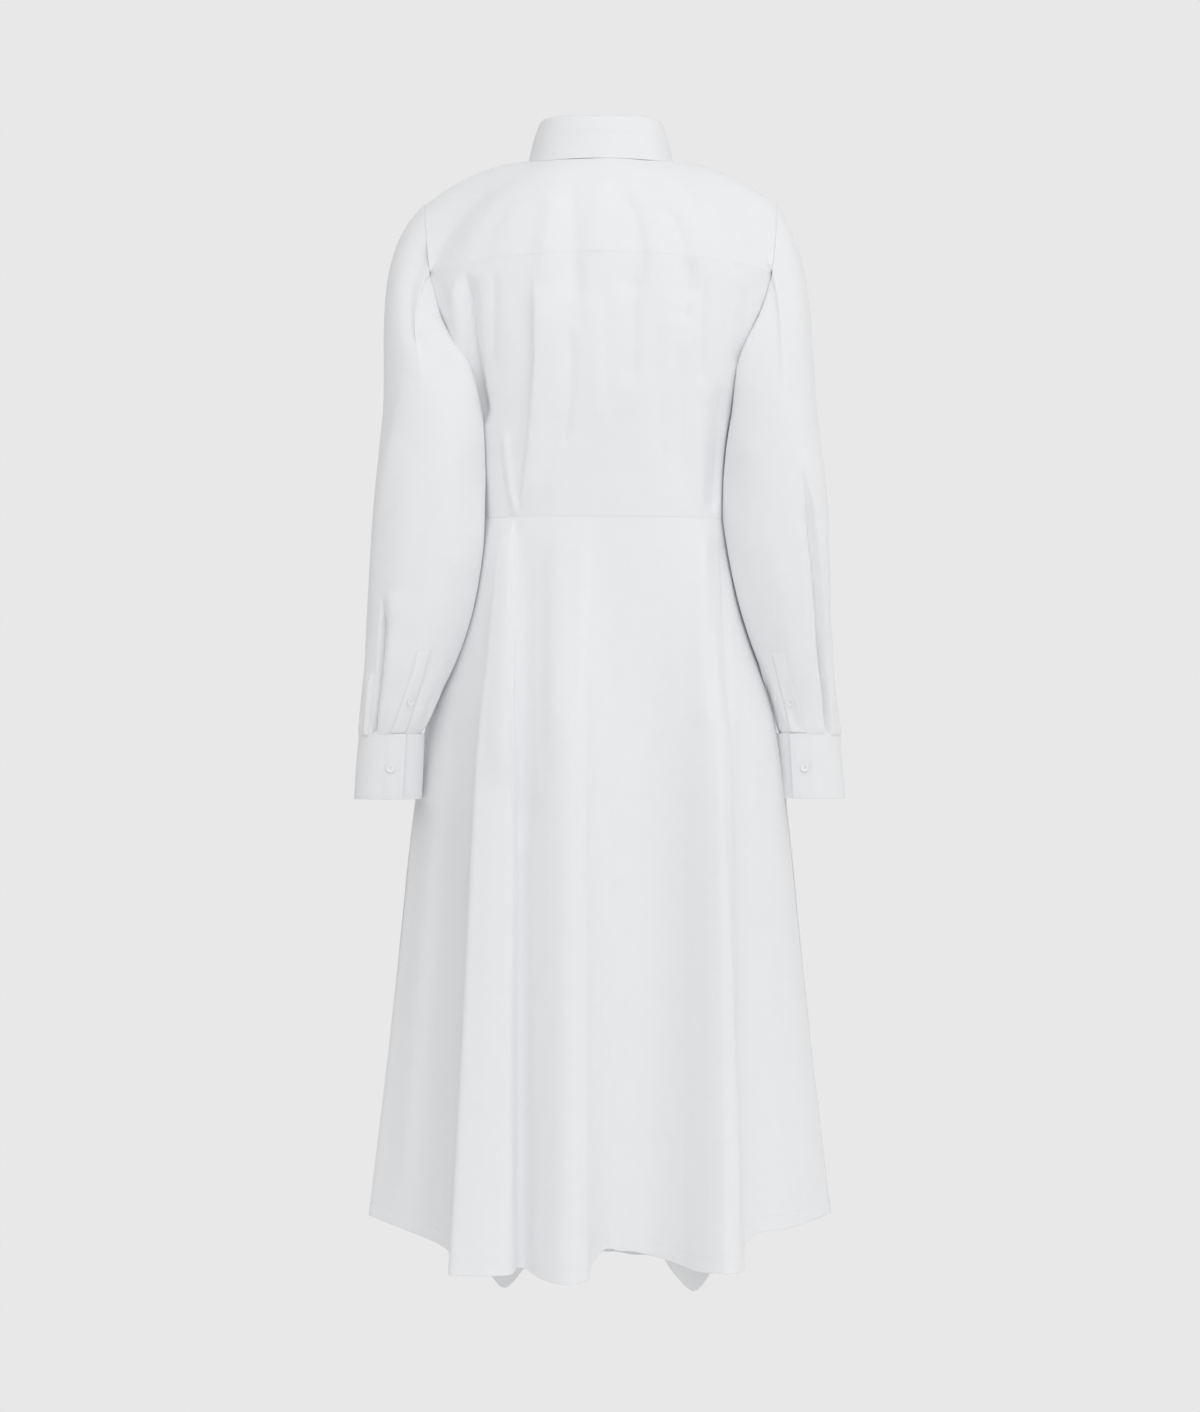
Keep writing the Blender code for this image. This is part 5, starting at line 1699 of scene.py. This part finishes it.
class DRESS_OT_stage(bpy.types.Operator):
    """Pale floor, soft studio light and the camera behind the dress"""

    bl_idname = "dress.stage"
    bl_label = "Stage"

    def execute(self, context):
        stage = context.scene.dress_stage
        scene = context.scene
        scene.view_settings.view_transform = "Standard"
        scene.view_settings.look = "None"
        world = bpy.data.worlds.new("studio_room")
        scene.world = world
        world.use_nodes = True
        room_nodes(world.node_tree, stage)
        area_light("key_light", KEY_PLACE, KEY_TARGET, KEY_SIZE, stage.key)
        bpy.ops.mesh.primitive_circle_add(vertices=96, radius=1.5, fill_type="NGON",
                                          location=(0.0, 0.0, FLOOR_HEIGHT))
        floor = context.object
        floor.name = "studio_floor"
        floor.data.materials.append(finish_named("pale_floor", floor_nodes))
        data = bpy.data.cameras.new("studio_camera")
        data.sensor_width = 36.0
        data.lens = CAMERA_LENS
        data.clip_end = 60.0
        camera = bpy.data.objects.new("studio_camera", data)
        camera.location = (CAMERA_AIM[0], stage.distance, CAMERA_AIM[2])
        context.collection.objects.link(camera)
        aim(camera, CAMERA_AIM)
        scene.camera = camera
        return {"FINISHED"}


class DRESS_PT_panel(bpy.types.Panel):
    """Sizes, colours and steps of the dress"""

    bl_label = "Shirt dress"
    bl_idname = "DRESS_PT_panel"
    bl_space_type = "VIEW_3D"
    bl_region_type = "UI"
    bl_category = "Dress"

    def draw(self, context):
        layout = self.layout
        for group in ("dress_cloth", "dress_trim", "dress_stage"):
            settings = getattr(context.scene, group)
            box = layout.box()
            for name in settings.__annotations__:
                box.prop(settings, name)
        for operator in OPERATORS:
            layout.operator(operator.bl_idname)


OPERATORS = (DRESS_OT_stage, DRESS_OT_back, DRESS_OT_front, DRESS_OT_skirt, DRESS_OT_sleeves,
             DRESS_OT_collar, DRESS_OT_buttons, DRESS_OT_stitching)
CLASSES = (DressClothSettings, DressTrimSettings, DressStageSettings) + OPERATORS + (
    DRESS_PT_panel,)


def register():
    """Make the settings, operators and panel known."""
    for cls in CLASSES:
        bpy.utils.register_class(cls)
    bpy.types.Scene.dress_cloth = bpy.props.PointerProperty(type=DressClothSettings)
    bpy.types.Scene.dress_trim = bpy.props.PointerProperty(type=DressTrimSettings)
    bpy.types.Scene.dress_stage = bpy.props.PointerProperty(type=DressStageSettings)


def unregister():
    """Take the settings, operators and panel away again."""
    del bpy.types.Scene.dress_stage
    del bpy.types.Scene.dress_trim
    del bpy.types.Scene.dress_cloth
    for cls in reversed(CLASSES):
        bpy.utils.unregister_class(cls)


def main():
    """Build the dress and its stage."""
    register()
    bpy.ops.dress.stage()
    bpy.ops.dress.back()
    bpy.ops.dress.front()
    bpy.ops.dress.skirt()
    bpy.ops.dress.sleeves()
    bpy.ops.dress.collar()
    bpy.ops.dress.buttons()
    bpy.ops.dress.stitching()


if __name__ == "__main__":
    main()
